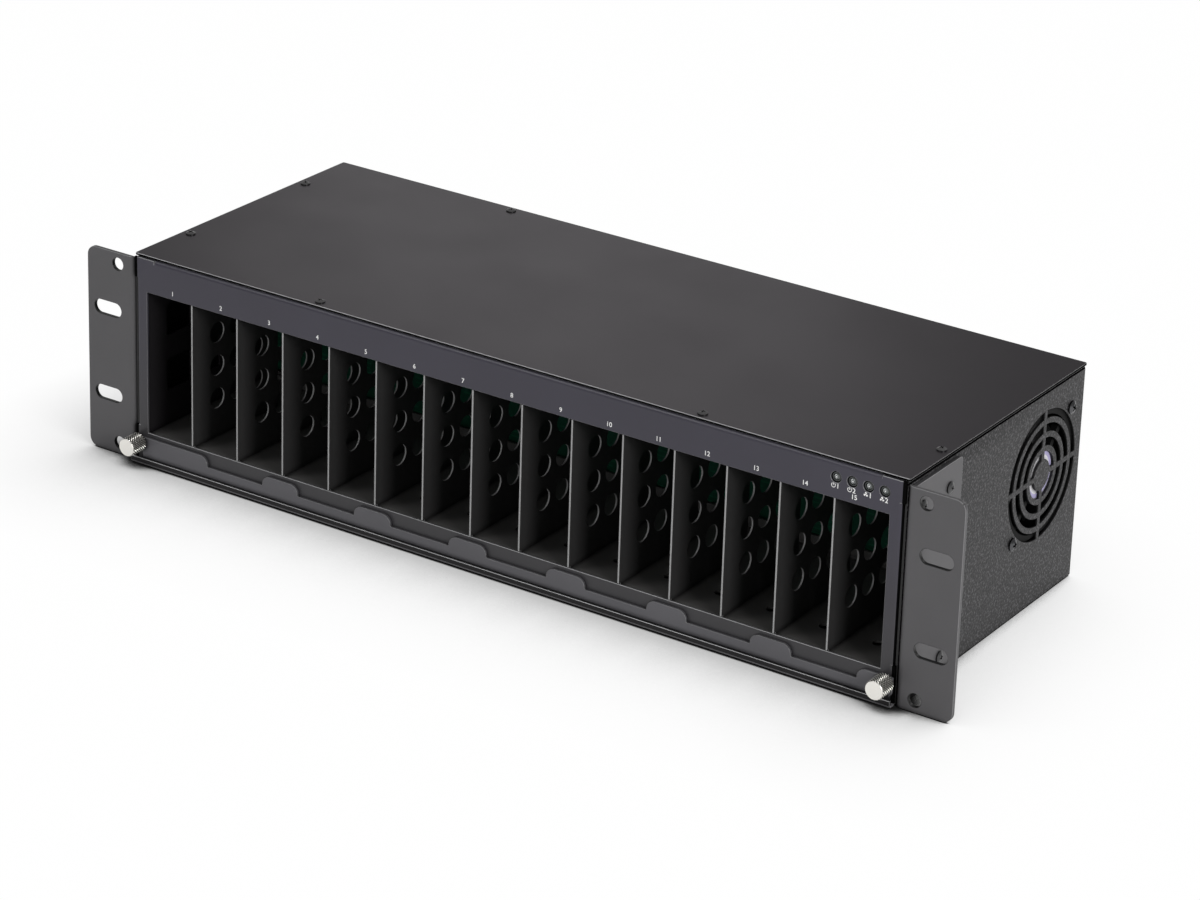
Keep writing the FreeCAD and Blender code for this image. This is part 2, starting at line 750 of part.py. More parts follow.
def backplane():
    """Circuit board behind the bays with a power plug for each bay, on spacers, and the fan headers."""
    places = [(x, z) for x in board_screw_xs for z in (floor_screw_level, ceiling_screw_level)]
    board = box((-half_board, board_front, board_low), (half_board, board_back, board_high))
    holes = [drill("y", board_front, board_back, x, z, screw_hole) for x, z in places]
    nodes["backplane_board"] = board.cut(holes)
    spacers = []
    for x, z in places:
        ring = rod("y", bay_back, board_front, x, z, spacer_diameter)
        spacers.append(ring.cut(drill("y", bay_back, board_front, x, z, screw_hole)))
    group("backplane_spacers", spacers)
    group("backplane_screws", [small_screw(vec(x, board_back, z), vec(0, -1, 0)) for x, z in places])
    plugs = []
    base_end = board_front - plug_base_length
    tip = base_end - plug_barrel_length
    for x in bay_xs:
        base = rod("y", board_front, base_end, x, plug_level, plug_base_diameter)
        barrel = rod("y", board_front, tip, x, plug_level, plug_barrel_diameter)
        bore = rod("y", tip - cut_past, base_end, x, plug_level, plug_bore_diameter)
        plugs.append(base.fuse(barrel).cut(bore).removeSplitter())
    group("bay_power_plugs", plugs)
    header = box((fan_header_x - header_width / 2, board_back, fan_lead_level - header_height / 2),
                 (fan_header_x + header_width / 2, header_face, fan_lead_level + header_height / 2))
    group("fan_headers", both_sides([header]))


def status_lamps():
    """Small lamps on a board behind the panel, held on studs and recessed in round holes."""
    board_y = panel_back + lamp_board_stand
    last_x, z = lamp_places[0]
    first_x = lamp_places[-1][0]
    half = lamp_board_height / 2
    nodes["lamp_board"] = box((first_x - lamp_pitch, board_y, z - half),
                              (last_x + lamp_board_margin, board_y + sheet, z + half))
    stud_xs = (first_x - lamp_pitch / 2, (first_x + last_x) / 2)
    group("lamp_board_studs", [rod("y", panel_back, board_y, x, z, lamp_stud_diameter) for x in stud_xs])
    dome_y = panel_front + lamp_recess + lamp_diameter / 2
    lamps = []
    for x, z in lamp_places:
        dome = Part.makeSphere(lamp_diameter / 2, vec(x, dome_y, z))
        lamps.append(rod("y", dome_y, board_y, x, z, lamp_diameter).fuse(dome).removeSplitter())
    group("status_lamps", lamps)


def fan_frames():
    """Square fan frame: two flanges on a round duct, with a motor plate on struts and a bearing tube."""
    half = fan_size / 2
    square = rectangle(fan_y - half, fan_y + half, fan_level - half, fan_level + half, fan_corner_radius)
    frame = rod("x", fan_inner, wall_inner, fan_y, fan_level, fan_size).fuse([
        prism(square, "x", fan_inner, fan_inner + fan_flange),
        prism(square, "x", wall_inner - fan_flange, wall_inner),
    ])
    cuts = [drill("x", fan_inner, wall_inner, fan_y, fan_level, fan_duct_diameter)]
    cuts += [drill("x", fan_inner, wall_inner, y, z, fan_hole_diameter) for y, z in fan_hole_places]
    frame = frame.cut(cuts)
    bearing_start = fan_plate_inner - bearing_length
    core = [
        rod("x", fan_plate_inner, fan_plate_outer, fan_y, fan_level, fan_plate_diameter),
        rod("x", bearing_start, fan_plate_inner, fan_y, fan_level, bearing_diameter),
    ]
    reach = fan_duct_diameter / 2 + fan_strut_bite
    for i in range(fan_strut_count):
        strut = box((fan_plate_inner, fan_y, fan_level - fan_strut_width / 2),
                    (fan_plate_outer, fan_y + reach, fan_level + fan_strut_width / 2))
        strut.rotate(vec(0, fan_y, fan_level), vec(1, 0, 0), fan_strut_angle + 360 * i / fan_strut_count)
        core.append(strut)
    bore = shaft_diameter + 2 * shaft_clearance
    shaft_hole = rod("x", bearing_start - cut_past, fan_plate_inner, fan_y, fan_level, bore)
    pair("fan_frame", frame.fuse(core).cut(shaft_hole).removeSplitter())
    group("fan_screws", both_sides([
        dome_screw(vec(half_case, y, z), vec(-1, 0, 0), fan_screw_diameter, fan_screw_head_diameter,
                   fan_screw_head_height, fan_screw_length)
        for y, z in fan_screw_places
    ]))


def blade_section(radius, chord, pitch):
    """Cambered blade section at a radius from the shaft, as a closed wire across the blade."""
    lean = math.radians(pitch)

    def at(along, across):
        axial = along * math.sin(lean) + across * math.cos(lean)
        sideways = along * math.cos(lean) - across * math.sin(lean)
        return vec(axial, sideways, radius)

    half = chord / 2
    t = blade_thickness / 2
    return Part.Wire([
        Part.Arc(at(-half, t), at(0, t + blade_camber), at(half, t)).toShape(),
        Part.makeLine(at(half, t), at(half, -t)),
        Part.Arc(at(half, -t), at(0, blade_camber - t), at(-half, -t)).toShape(),
        Part.makeLine(at(-half, -t), at(-half, t)),
    ])


def fan_rotors():
    """Cup-shaped hub with twisted, cambered blades and the shaft that turns in the bearing tube."""
    hub_start = fan_inner + rotor_inner_gap
    hub_length = fan_plate_inner - rotor_plate_gap - hub_start
    cup = rod("x", 0, hub_length, 0, 0, rotor_hub_diameter)
    rims = [edge for edge in cup.Edges if isinstance(edge.Curve, Part.Circle) and edge.Curve.Center.x == 0]
    cup = cup.makeFillet(rotor_hub_wall, rims)
    hollow_diameter = rotor_hub_diameter - 2 * rotor_hub_wall
    cup = cup.cut(rod("x", rotor_hub_wall, hub_length + cut_past, 0, 0, hollow_diameter))
    shaft = rod("x", 0, hub_length, 0, 0, shaft_diameter)
    tip_radius = fan_duct_diameter / 2 - blade_tip_gap
    root_diameter = rotor_hub_diameter - 2 * blade_root_bite
    blade = Part.makeLoft([
        blade_section(rotor_hub_diameter / 2 - rotor_hub_wall, blade_root_chord, blade_root_pitch),
        blade_section(tip_radius + cut_past, blade_tip_chord, blade_tip_pitch),
    ], True, True)
    blade.translate(vec(hub_length / 2, 0, 0))
    blade = blade.common(rod("x", 0, hub_length, 0, 0, 2 * tip_radius))
    blade = blade.cut(rod("x", -cut_past, hub_length + cut_past, 0, 0, root_diameter))
    blades = []
    for i in range(blade_count):
        turned = blade.copy()
        turned.rotate(vec(0, 0, 0), vec(1, 0, 0), 360 * i / blade_count)
        blades.append(turned)
    rotor = cup.fuse([shaft] + blades)
    rotor.translate(vec(hub_start, fan_y, fan_level))
    pair("fan_rotor", rotor)


def power_supplies():
    """Cases of two supplies that stand on the base behind the backplane, open underneath."""
    low = (supply_centre_x - supply_length / 2, supply_back - supply_depth, sheet)
    high = (supply_centre_x + supply_length / 2, supply_back, supply_top)
    case = box(low, high)
    rims = [edge for edge in case.Edges if edge.CenterOfMass.z > sheet]
    case = case.makeFillet(supply_edge_radius, rims)
    inside_low = (low[0] + sheet, low[1] + sheet, 0)
    inside_high = [edge - sheet for edge in high]
    pair("power_supply", case.cut(box(inside_low, inside_high)))


def power_inlets():
    """Mains inlets in the back panel: a flange, a socket with three contacts, and two screws each."""
    x = inlet_centre_x
    w = inlet_flange_width / 2
    h = inlet_flange_height / 2
    wings = rectangle(x - w, x + w, inlet_level - h, inlet_level + h, inlet_flange_radius)
    flange = prism(wings, "y", case_depth, inlet_face)
    shell = inlet_outline(inlet_body_width, inlet_body_height, inlet_chamfer, x)
    body = prism(shell, "y", case_depth - inlet_body_depth, case_depth)
    socket_end = inlet_face - inlet_socket_depth
    hollow = inlet_outline(inlet_body_width - 2 * inlet_wall, inlet_body_height - 2 * inlet_wall,
                           inlet_chamfer - inlet_wall / 2, x)
    cuts = [prism(hollow, "y", socket_end, inlet_face + cut_past)]
    cuts += [drill("y", case_depth, inlet_face, x + k * inlet_screw_span / 2, inlet_level, screw_hole)
             for k in (-1, 1)]
    pair("ac_inlet", flange.fuse(body).cut(cuts).removeSplitter())
    contacts = []
    for k in (-1, 0, 1):
        z = inlet_level + (contact_raise if k == 0 else -contact_raise)
        cx = x + k * contact_spacing
        contacts.append(box((cx - contact_width / 2, socket_end, z - contact_height / 2),
                            (cx + contact_width / 2, inlet_face - contact_recess, z + contact_height / 2)))
    group("inlet_contacts", both_sides(contacts))
    group("inlet_screws", [
        small_screw(vec(sx, inlet_face, inlet_level), vec(0, -1, 0)) for sx in inlet_screw_xs
    ])


def fan_leads():
    """Lead from each fan to its header on the backplane."""
    pair("fan_lead", lead(
        vec(fan_header_x, header_face, fan_lead_level),
        vec(fan_header_x, header_face + fan_lead_run, fan_lead_level),
        vec(fan_inner, header_face + fan_lead_run, fan_lead_level),
    ))


base_tray()
side_walls()
rear_panel()
top_cover()
front_panel()
rack_ears()
retaining_bar()
thumbscrews()
bay_floor()
bay_ceiling()
cage_sides()
dividers()
backplane()
status_lamps()
fan_frames()
fan_rotors()
power_supplies()
power_inlets()
fan_leads()

os.makedirs("parts", exist_ok=True)
for name, shape in sorted(nodes.items()):
    shape.exportStep(f"parts/{name}.step")
    print(f"{name}: {len(shape.Solids)} solids, {shape.Volume / 1000:.2f} cm3, valid {shape.isValid()}")
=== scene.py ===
# %% [markdown]
# # A rack chassis for media converters
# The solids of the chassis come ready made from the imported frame: folded sheet metal, dividers, fans and
# screws. This lesson dresses them. It rounds the sheet edges, makes the cross recesses and the knurls as
# real geometry, prints the numerals and gives every surface a finish made of nodes.

# %% Load the frame
import json
import math
from functools import partial

import bmesh
import bpy
from mathutils import Matrix, Quaternion, Vector
from mathutils.bvhtree import BVHTree

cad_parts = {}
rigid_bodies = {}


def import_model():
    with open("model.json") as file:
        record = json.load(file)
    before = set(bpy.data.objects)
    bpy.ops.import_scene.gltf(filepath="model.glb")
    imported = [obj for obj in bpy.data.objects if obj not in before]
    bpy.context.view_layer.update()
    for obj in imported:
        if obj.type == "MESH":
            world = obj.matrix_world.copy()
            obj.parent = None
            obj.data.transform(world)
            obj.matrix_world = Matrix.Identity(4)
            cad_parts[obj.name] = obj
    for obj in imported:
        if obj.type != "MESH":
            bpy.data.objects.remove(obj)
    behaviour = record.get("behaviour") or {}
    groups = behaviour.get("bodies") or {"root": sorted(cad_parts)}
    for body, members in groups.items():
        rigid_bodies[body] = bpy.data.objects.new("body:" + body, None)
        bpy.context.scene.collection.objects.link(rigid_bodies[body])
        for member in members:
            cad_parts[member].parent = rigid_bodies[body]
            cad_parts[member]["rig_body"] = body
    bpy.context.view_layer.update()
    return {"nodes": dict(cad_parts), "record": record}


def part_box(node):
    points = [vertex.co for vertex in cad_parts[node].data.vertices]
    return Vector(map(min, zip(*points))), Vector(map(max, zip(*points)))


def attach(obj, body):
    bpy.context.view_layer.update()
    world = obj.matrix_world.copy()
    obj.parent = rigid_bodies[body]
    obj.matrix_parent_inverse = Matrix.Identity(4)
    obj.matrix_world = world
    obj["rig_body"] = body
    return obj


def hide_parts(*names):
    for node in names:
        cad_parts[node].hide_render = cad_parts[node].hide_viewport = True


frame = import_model()
nodes = frame["nodes"]
slot_of = {entry["node"]: entry["material_slot"] for entry in frame["record"]["subparts"]}
MM = 0.001

# %% [markdown]
# ## The camera
# The photograph was taken from the front right and above with a long lens, so lines stay almost parallel.
# Upright edges hardly lean, as with a lens that is shifted and not tilted down all the way. The angles and
# the shift below were fitted to corners of the case, the bays and the rack ears. A camera looks along its
# own -Z, so its matrix is made of three axes: right, up and back. Building the matrix from them is easier
# to follow than turning the camera by Euler angles, and a small roll is one more rotation of the first two.

# %% Place the camera
PHOTO_WIDTH = 1200
SENSOR_WIDTH = 36.0
FOCAL_PIXELS = 3956.1
SHIFT_PIXELS = (-129.6, -288.9)
CAMERA_TURN = math.radians(31.544)
CAMERA_RISE = math.radians(19.797)
CAMERA_ROLL = math.radians(-2.509)
CAMERA_DISTANCE = 1859.5 * MM
camera_target = Vector((27.967, 143.771, 167.381)) * MM


def new_object(name, data):
    """An object in the scene that shows a mesh, a lamp, a camera or a text."""
    made = bpy.data.objects.new(name, data)
    bpy.context.scene.collection.objects.link(made)
    return made


back = Vector((
    math.sin(CAMERA_TURN) * math.cos(CAMERA_RISE),
    -math.cos(CAMERA_TURN) * math.cos(CAMERA_RISE),
    math.sin(CAMERA_RISE),
))
level = Vector((math.cos(CAMERA_TURN), math.sin(CAMERA_TURN), 0))
upright = back.cross(level)
right = level * math.cos(CAMERA_ROLL) - upright * math.sin(CAMERA_ROLL)
up = level * math.sin(CAMERA_ROLL) + upright * math.cos(CAMERA_ROLL)

camera_data = bpy.data.cameras.new("photo_camera")
camera_data.sensor_width = SENSOR_WIDTH
camera_data.lens = FOCAL_PIXELS * SENSOR_WIDTH / PHOTO_WIDTH
camera_data.shift_x, camera_data.shift_y = (shift / PHOTO_WIDTH for shift in SHIFT_PIXELS)
camera = new_object("photo_camera", camera_data)
camera.matrix_world = Matrix((right, up, back)).transposed().to_4x4()
camera.location = camera_target + back * CAMERA_DISTANCE
bpy.context.scene.camera = camera
print("lens in mm:", round(camera_data.lens, 1))

# %% [markdown]
# ## Nodes by the handful
# Both geometry trees and materials are made of nodes. A small helper that adds a node, sets its options and
# plugs in either a value or another node's output keeps each tree short enough to read.


# %% Helpers for nodes
def add(tree, kind, inputs=None, **options):
    """One node; inputs maps a socket's name or number to a value or to another socket."""
    made = tree.nodes.new(kind)
    for option, value in options.items():
        setattr(made, option, value)
    for key, value in (inputs or {}).items():
        if isinstance(value, bpy.types.NodeSocket):
            tree.links.new(value, made.inputs[key])
        else:
            made.inputs[key].default_value = value
    return made


def maths(tree, operation, *values):
    return add(tree, "ShaderNodeMath", dict(enumerate(values)), operation=operation).outputs[0]


def spread(tree, value, low, high, to_low, to_high):
    """Map Range from low..high to to_low..to_high, held at both ends."""
    inputs = {"Value": value, "From Min": low, "From Max": high, "To Min": to_low, "To Max": to_high}
    return add(tree, "ShaderNodeMapRange", inputs).outputs[0]


def mix_colours(tree, share, first, second):
    """Mixes two colours; a Mix node has its share at socket 0 and its colours at sockets 6 and 7."""
    return add(tree, "ShaderNodeMix", {0: share, 6: first, 7: second}, data_type="RGBA").outputs[2]


def axes_of(tree, vector):
    return add(tree, "ShaderNodeSeparateXYZ", {0: vector}).outputs


def combine(tree, x, y, z):
    return add(tree, "ShaderNodeCombineXYZ", {0: x, 1: y, 2: z}).outputs[0]


def rgba(colour):
    return (*colour, 1.0)


print("node helpers ready")

# %% [markdown]
# ## Floor and light
# The object stands on a white floor that runs out of the picture. The floor's material mixes a plain diffuse
# white with a glow that only camera, mirror and glass rays see: the background turns white, and the glow puts
# no light on the object. Close to the case an Ambient Occlusion node takes the glow away and turns the
# paper's own colour dark grey, a painted shadow, so a soft shadow stays there and the nooks under the lip and
# the ears are dark. Large area lamps and a pale world give the even light of a product photograph.

# %% Floor
FLOOR_SIZE = 14.0
FLOOR_DROP = 0.2 * MM
floor_shape = bmesh.new()
bmesh.ops.create_grid(floor_shape, x_segments=1, y_segments=1, size=FLOOR_SIZE / 2)
floor_mesh = bpy.data.meshes.new("floor")
floor_shape.to_mesh(floor_mesh)
floor_shape.free()
floor_mesh.transform(Matrix.Translation((0, 0, -FLOOR_DROP)))
floor = new_object("floor", floor_mesh)
print("floor:", FLOOR_SIZE, "m")

# %% Floor paper
WHITE = (1.0, 1.0, 1.0)
FLOOR_WHITE = (0.9, 0.9, 0.9)
NOOK_SHADOW_GREY = (0.02, 0.02, 0.02)
FLOOR_GLOW = 0.992
FLOOR_SAMPLES = 16
SHADOW_REACH = 100 * MM
SHADOW_LEAN = (0.35, 0.25, 0.9)
SHADOW_DEPTH = 1.15
SHADOW_POWER = 1.1
NOOK_REACH = 40 * MM
NOOK_RANGE = (0.42, 0.56)


def open_share(tree, reach, heading):
    """Share of the space round heading that nothing within reach hides from a spot of the floor."""
    inputs = {"Distance": reach, "Normal": combine(tree, *Vector(heading).normalized())}
    return add(tree, "ShaderNodeAmbientOcclusion", inputs, samples=FLOOR_SAMPLES).outputs["AO"]


floor_paper = bpy.data.materials.new("floor_paper")
floor_paper.use_nodes = True
tree = floor_paper.node_tree
tree.nodes.clear()
path = add(tree, "ShaderNodeLightPath").outputs
seen = maths(tree, "MAXIMUM", path["Is Camera Ray"], path["Is Glossy Ray"])
seen = maths(tree, "MAXIMUM", seen, path["Is Transmission Ray"])
hidden = maths(tree, "SUBTRACT", 1.0, open_share(tree, SHADOW_REACH, SHADOW_LEAN))
shadow = maths(tree, "MULTIPLY", maths(tree, "POWER", hidden, SHADOW_POWER), SHADOW_DEPTH)
lit = maths(tree, "MAXIMUM", 0.0, maths(tree, "SUBTRACT", 1.0, shadow))
nook = spread(tree, open_share(tree, NOOK_REACH, (0, 0, 1)), *NOOK_RANGE, 0.0, 1.0)
lit = maths(tree, "MULTIPLY", lit, nook)
# Painted shadow: the paper's own colour goes dark grey where the Ambient Occlusion finds the case near.
tone = mix_colours(tree, lit, rgba(NOOK_SHADOW_GREY), rgba(FLOOR_WHITE))
paper = add(tree, "ShaderNodeBsdfDiffuse", {"Color": tone})
glow = add(tree, "ShaderNodeEmission", {"Color": rgba(WHITE), "Strength": 1.0})
share = maths(tree, "MULTIPLY", seen, maths(tree, "MULTIPLY", FLOOR_GLOW, lit))
both = add(tree, "ShaderNodeMixShader", {0: share, 1: paper.outputs[0], 2: glow.outputs[0]})
add(tree, "ShaderNodeOutputMaterial", {"Surface": both.outputs[0]})
floor_mesh.materials.append(floor_paper)
print("floor glow:", FLOOR_GLOW)

# %% Lamps and world
WORLD_STRENGTH = 0.3
# Place in metres, size in metres and power in watts of each lamp.
LAMPS = {
    "back_left": ((-1.2, 1.8, 0.95), 0.7, 1.6),
    "back_right": ((0.8, 1.7, 1.1), 0.5, 3.0),
    "upper_left": ((-0.9, -0.8, 1.55), 0.6, 8.5),
    "front": ((0.2, -2.2, 0.6), 0.9, 8.5),
    "right": ((2.0, -0.7, 0.9), 0.8, 30.0),
}
for name, (place, size, power) in LAMPS.items():
    lamp_data = bpy.data.lights.new(name, "AREA")
    lamp_data.size = size
    lamp_data.energy = power
    lamp = new_object(name, lamp_data)
    lamp.location = place
    lamp.rotation_euler = (Vector(place) - camera_target).to_track_quat("Z", "Y").to_euler()

world = bpy.data.worlds.new("studio")
world.use_nodes = True
sky = world.node_tree.nodes["Background"].inputs
sky["Color"].default_value = rgba(WHITE)
sky["Strength"].default_value = WORLD_STRENGTH
bpy.context.scene.world = world
bpy.context.scene.view_settings.view_transform = "Standard"
print("lamps:", ", ".join(LAMPS))

# %% [markdown]
# ## Effects that several finishes share
# Paint on sheet metal is never one flat colour. Three effects come back in almost every material here: a fine
# grain from the coating, faint broad marks where hands and cloths have changed the gloss, and painted shade
# in nooks where sheets meet and little light gets in. Each is a node group, built once, with its sizes as
# inputs. The first two read Object coordinates, which are metres in the frame, so a grain of half a
# millimetre is the same on every piece. The third asks an Ambient Occlusion node how open the spot is, and
# the coating darkens the colour there as painted shade.

# %% Node groups
GRAIN_DETAIL = 2.0
MARK_DETAIL = 4.0
MARK_RANGE = (0.35, 0.7)
NOOK_SAMPLES = 4


def new_group(name, inputs, output):
    """Shader group with numbers for inputs and one number for its output."""
    tree = bpy.data.node_groups.new(name, "ShaderNodeTree")
    for label, value in inputs.items():
        socket = tree.interface.new_socket(label, in_out="INPUT", socket_type="NodeSocketFloat")
        socket.default_value = value
    tree.interface.new_socket(output, in_out="OUTPUT", socket_type="NodeSocketFloat")
    return tree, add(tree, "NodeGroupInput").outputs, add(tree, "NodeGroupOutput").inputs[output]


def object_place(tree):
    return add(tree, "ShaderNodeTexCoord").outputs["Object"]


coat_grain, sizes, out = new_group("coat_grain", {"Grain Size": 0.5 * MM, "Pebbles": 0.5}, "Height")
pattern = {"Vector": object_place(coat_grain), "Scale": maths(coat_grain, "DIVIDE", 1.0, sizes["Grain Size"])}
noise = add(coat_grain, "ShaderNodeTexNoise", {**pattern, "Detail": GRAIN_DETAIL}).outputs[0]
pebble = add(coat_grain, "ShaderNodeTexVoronoi", pattern).outputs["Distance"]
rise = maths(coat_grain, "MULTIPLY", maths(coat_grain, "SUBTRACT", 1.0, pebble), sizes["Pebbles"])
coat_grain.links.new(maths(coat_grain, "ADD", noise, rise), out)

hand_marks, sizes, out = new_group("hand_marks", {"Mark Size": 60 * MM}, "Marks")
pattern = {"Vector": object_place(hand_marks), "Scale": maths(hand_marks, "DIVIDE", 1.0, sizes["Mark Size"])}
cloud = add(hand_marks, "ShaderNodeTexNoise", {**pattern, "Detail": MARK_DETAIL}).outputs[0]
hand_marks.links.new(spread(hand_marks, cloud, *MARK_RANGE, 0.0, 1.0), out)

nook_shade, sizes, out = new_group("nook_shade", {"Reach": 2.5 * MM, "Power": 2.2}, "Open")
nearby = add(nook_shade, "ShaderNodeAmbientOcclusion", {"Distance": sizes["Reach"]}, samples=NOOK_SAMPLES)
nook_shade.links.new(maths(nook_shade, "POWER", nearby.outputs["AO"], sizes["Power"]), out)
print("groups:", coat_grain.name, hand_marks.name, nook_shade.name)

# %% [markdown]
# ## Finishes
# One function mixes all the coated and moulded surfaces: a base colour that drifts a little with the marks,
# a roughness that follows them, and a bump from the grain. Values that do not change over the surface,
# such as metalness or the specular level, are set straight on the shader. A table of recipes is enough for
# all of them, and a piece that needs a tone of its own gets its own line there.

# %% The coating function
NOOK_SHARE = 0.12
GLOSS_DRIFT = 0.02
SPECK_RANGE = (0.5, 1.1)
SPECK_LIFT = 2.0


def place_group(tree, group, **values):
    made = add(tree, "ShaderNodeGroup", node_tree=group)
    for label, value in values.items():
        made.inputs[label.replace("_", " ")].default_value = value
    return made.outputs[0]


def coating(name, colour, roughness, grain=0.5 * MM, depth=0.004 * MM, drift=0.08, pebbles=0.5, specular=0.4,
            metallic=0.0, nook_power=2.2):
    """Material with drifting colour, uneven gloss, a fine grain and painted shade in its nooks."""
    finish = bpy.data.materials.new(name)
    finish.use_nodes = True
    tree = finish.node_tree
    shader = tree.nodes["Principled BSDF"]
    shader.inputs["Metallic"].default_value = metallic
    shader.inputs["Specular IOR Level"].default_value = specular

    def tone(factor):
        return rgba([min(1.0, channel * factor) for channel in colour])

    marks = place_group(tree, hand_marks)
    height = place_group(tree, coat_grain, Grain_Size=grain, Pebbles=pebbles)
    tint = mix_colours(tree, marks, tone(1 - drift), tone(1 + drift))
    tint = mix_colours(tree, spread(tree, height, *SPECK_RANGE, 0.0, drift), tint, tone(SPECK_LIFT))
    # Painted shade: where the Ambient Occlusion node finds the spot closed in, the colour falls towards
    # NOOK_SHARE of itself.
    is_open = place_group(tree, nook_shade, Power=nook_power)
    tint = mix_colours(tree, is_open, tone(NOOK_SHARE), tint)
    tree.links.new(tint, shader.inputs["Base Color"])
    gloss = spread(tree, marks, 0.0, 1.0, roughness - GLOSS_DRIFT, roughness + GLOSS_DRIFT)
    tree.links.new(gloss, shader.inputs["Roughness"])
    bump = add(tree, "ShaderNodeBump", {"Height": height, "Distance": depth, "Strength": 1.0})
    tree.links.new(bump.outputs[0], shader.inputs["Normal"])
    return finish


print("coating function ready")

# %% Mix the finishes
CASE_RECIPE = {"colour": (0.012, 0.0111, 0.012), "roughness": 0.36, "specular": 0.22}
CUT_AND_SHADE_BLACK = (0.003, 0.003, 0.003)
RECIPES = {
    "case_paint": CASE_RECIPE,
    "tray_paint": CASE_RECIPE,
    # Painted light: a lighter copy of the case's charcoal, which makes up for the weak lamps at the back.
    "rear_paint_lit": {"colour": (0.05, 0.0475, 0.053), "roughness": 0.4},
    "panel_paint": {"colour": (0.034, 0.0315, 0.045), "roughness": 0.4},
    # Painted light: a lighter copy of the panel's paint, which stands for the light the white floor throws up
    # onto the low bar.
    "bar_paint_lit": {"colour": (0.092, 0.09, 0.098), "roughness": 0.4},
    "bay_paint": {"colour": (0.055, 0.054, 0.0525), "roughness": 0.45},
    "ear_paint": {"colour": (0.072, 0.07, 0.0735), "roughness": 0.42},
    "wall_paint": {"colour": (0.006, 0.0057, 0.0063), "roughness": 0.5, "grain": 1.1 * MM, "depth": 0.25 * MM,
                   "drift": 0.3, "pebbles": 0.3},
    "divider_paint": {"colour": (0.023, 0.0225, 0.0225), "roughness": 0.45},
    "gap_shade_black": {"colour": CUT_AND_SHADE_BLACK, "roughness": 0.6, "specular": 0.0},
    "black_screw": {"colour": (0.03, 0.03, 0.031), "roughness": 0.3, "specular": 0.6, "nook_power": 5},
    "cover_screw_paint": {"colour": (0.05, 0.049, 0.05), "roughness": 0.22, "specular": 0.8, "nook_power": 5},
    "dark_zinc": {"colour": (0.1, 0.1, 0.105), "roughness": 0.24, "metallic": 1.0, "nook_power": 6},
    "zinc_screw": {"colour": (0.42, 0.42, 0.42), "roughness": 0.34, "metallic": 1.0},
    "plain_steel": {"colour": (0.5, 0.5, 0.49), "roughness": 0.38, "depth": 0.006 * MM, "metallic": 1.0},
    "contact_brass": {"colour": (0.62, 0.48, 0.24), "roughness": 0.35, "metallic": 1.0},
    "plug_metal": {"colour": (0.02, 0.02, 0.02), "roughness": 0.35, "depth": 0.003 * MM},
    "black_plastic": {"colour": (0.01, 0.01, 0.01), "roughness": 0.5, "grain": 0.4 * MM, "depth": 0.01 * MM},
    "frame_black": {"colour": (0.004, 0.004, 0.004), "roughness": 0.6, "grain": 0.4 * MM, "depth": 0.01 * MM,
                    "specular": 0.1},
    "white_plastic": {"colour": (0.78, 0.78, 0.77), "roughness": 0.5, "grain": 0.4 * MM, "drift": 0.03},
    "lamp_lens": {"colour": (0.085, 0.095, 0.093), "roughness": 0.12, "depth": 0.001 * MM, "specular": 0.7,
                  "nook_power": 0.25},
    "board_laminate": {"colour": (0.002, 0.036, 0.02), "roughness": 0.3, "depth": 0.003 * MM},
    "red_lead": {"colour": (0.5, 0.02, 0.02), "roughness": 0.5, "grain": 0.4 * MM, "depth": 0.006 * MM,
                 "drift": 0.1},
}
finishes = {name: coating(name, **recipe) for name, recipe in RECIPES.items()}

CASE_GLOSS = (1.0, 0.74, 1.0)
case_shader = finishes["case_paint"].node_tree.nodes["Principled BSDF"]
case_shader.inputs["Specular Tint"].default_value = rgba(CASE_GLOSS)
print("finishes:", len(finishes))

# %% [markdown]
# ## Finishes with a second tone
# Some pieces show more than one tone. The cut edges of the dividers are bare and carry a painted highlight,
# the coarse coat of the walls has flecks, and the slots of the rack ears are dark inside. Other tones are
# painted light and shade: the lenses of the lamps have painted highlights in the middle and at one side, and
# gaps, feet and hollows get painted shade. Each tone could be a piece of its own or a painted picture. A mask
# is simpler: a value that is 1 in one zone and 0 elsewhere, worked out from the place on the object or from
# the way a face is turned, mixes a second colour in.


# %% Masks
def object_axis(tree, axis):
    return axes_of(tree, object_place(tree))[axis]


def facing(tree, axis):
    """How far a face is turned to one axis: 1 looks along it and -1 against it."""
    return axes_of(tree, add(tree, "ShaderNodeNewGeometry").outputs["Normal"])[axis]


def facing_share(tree, axis):
    """The same, whichever way along the axis the face looks."""
    return maths(tree, "ABSOLUTE", facing(tree, axis))


def within(tree, value, low, high):
    above = maths(tree, "GREATER_THAN", value, low)
    return maths(tree, "MULTIPLY", above, maths(tree, "LESS_THAN", value, high))


def radius_squared(tree, u, v):
    return maths(tree, "ADD", maths(tree, "MULTIPLY", u, u), maths(tree, "MULTIPLY", v, v))


def recolour(finish, mask, colour):
    """Puts a second colour where mask is 1."""
    tree = finish.node_tree
    socket = tree.nodes["Principled BSDF"].inputs["Base Color"]
    before = socket.links[0].from_socket
    tree.links.new(mix_colours(tree, mask, before, rgba(colour)), socket)


print("mask helpers ready")

# %% Bare edges of the dividers, with painted highlight
BARE_EDGE_HIGHLIGHT_GREY = (0.3, 0.3, 0.3)
HOLE_HIGHLIGHT_GREY = (0.17, 0.17, 0.17)
WORN_AND_LIT_DEPTH = 2 * MM
EDGE_TURN = 0.6
divider_paint = finishes["divider_paint"]
tree = divider_paint.node_tree
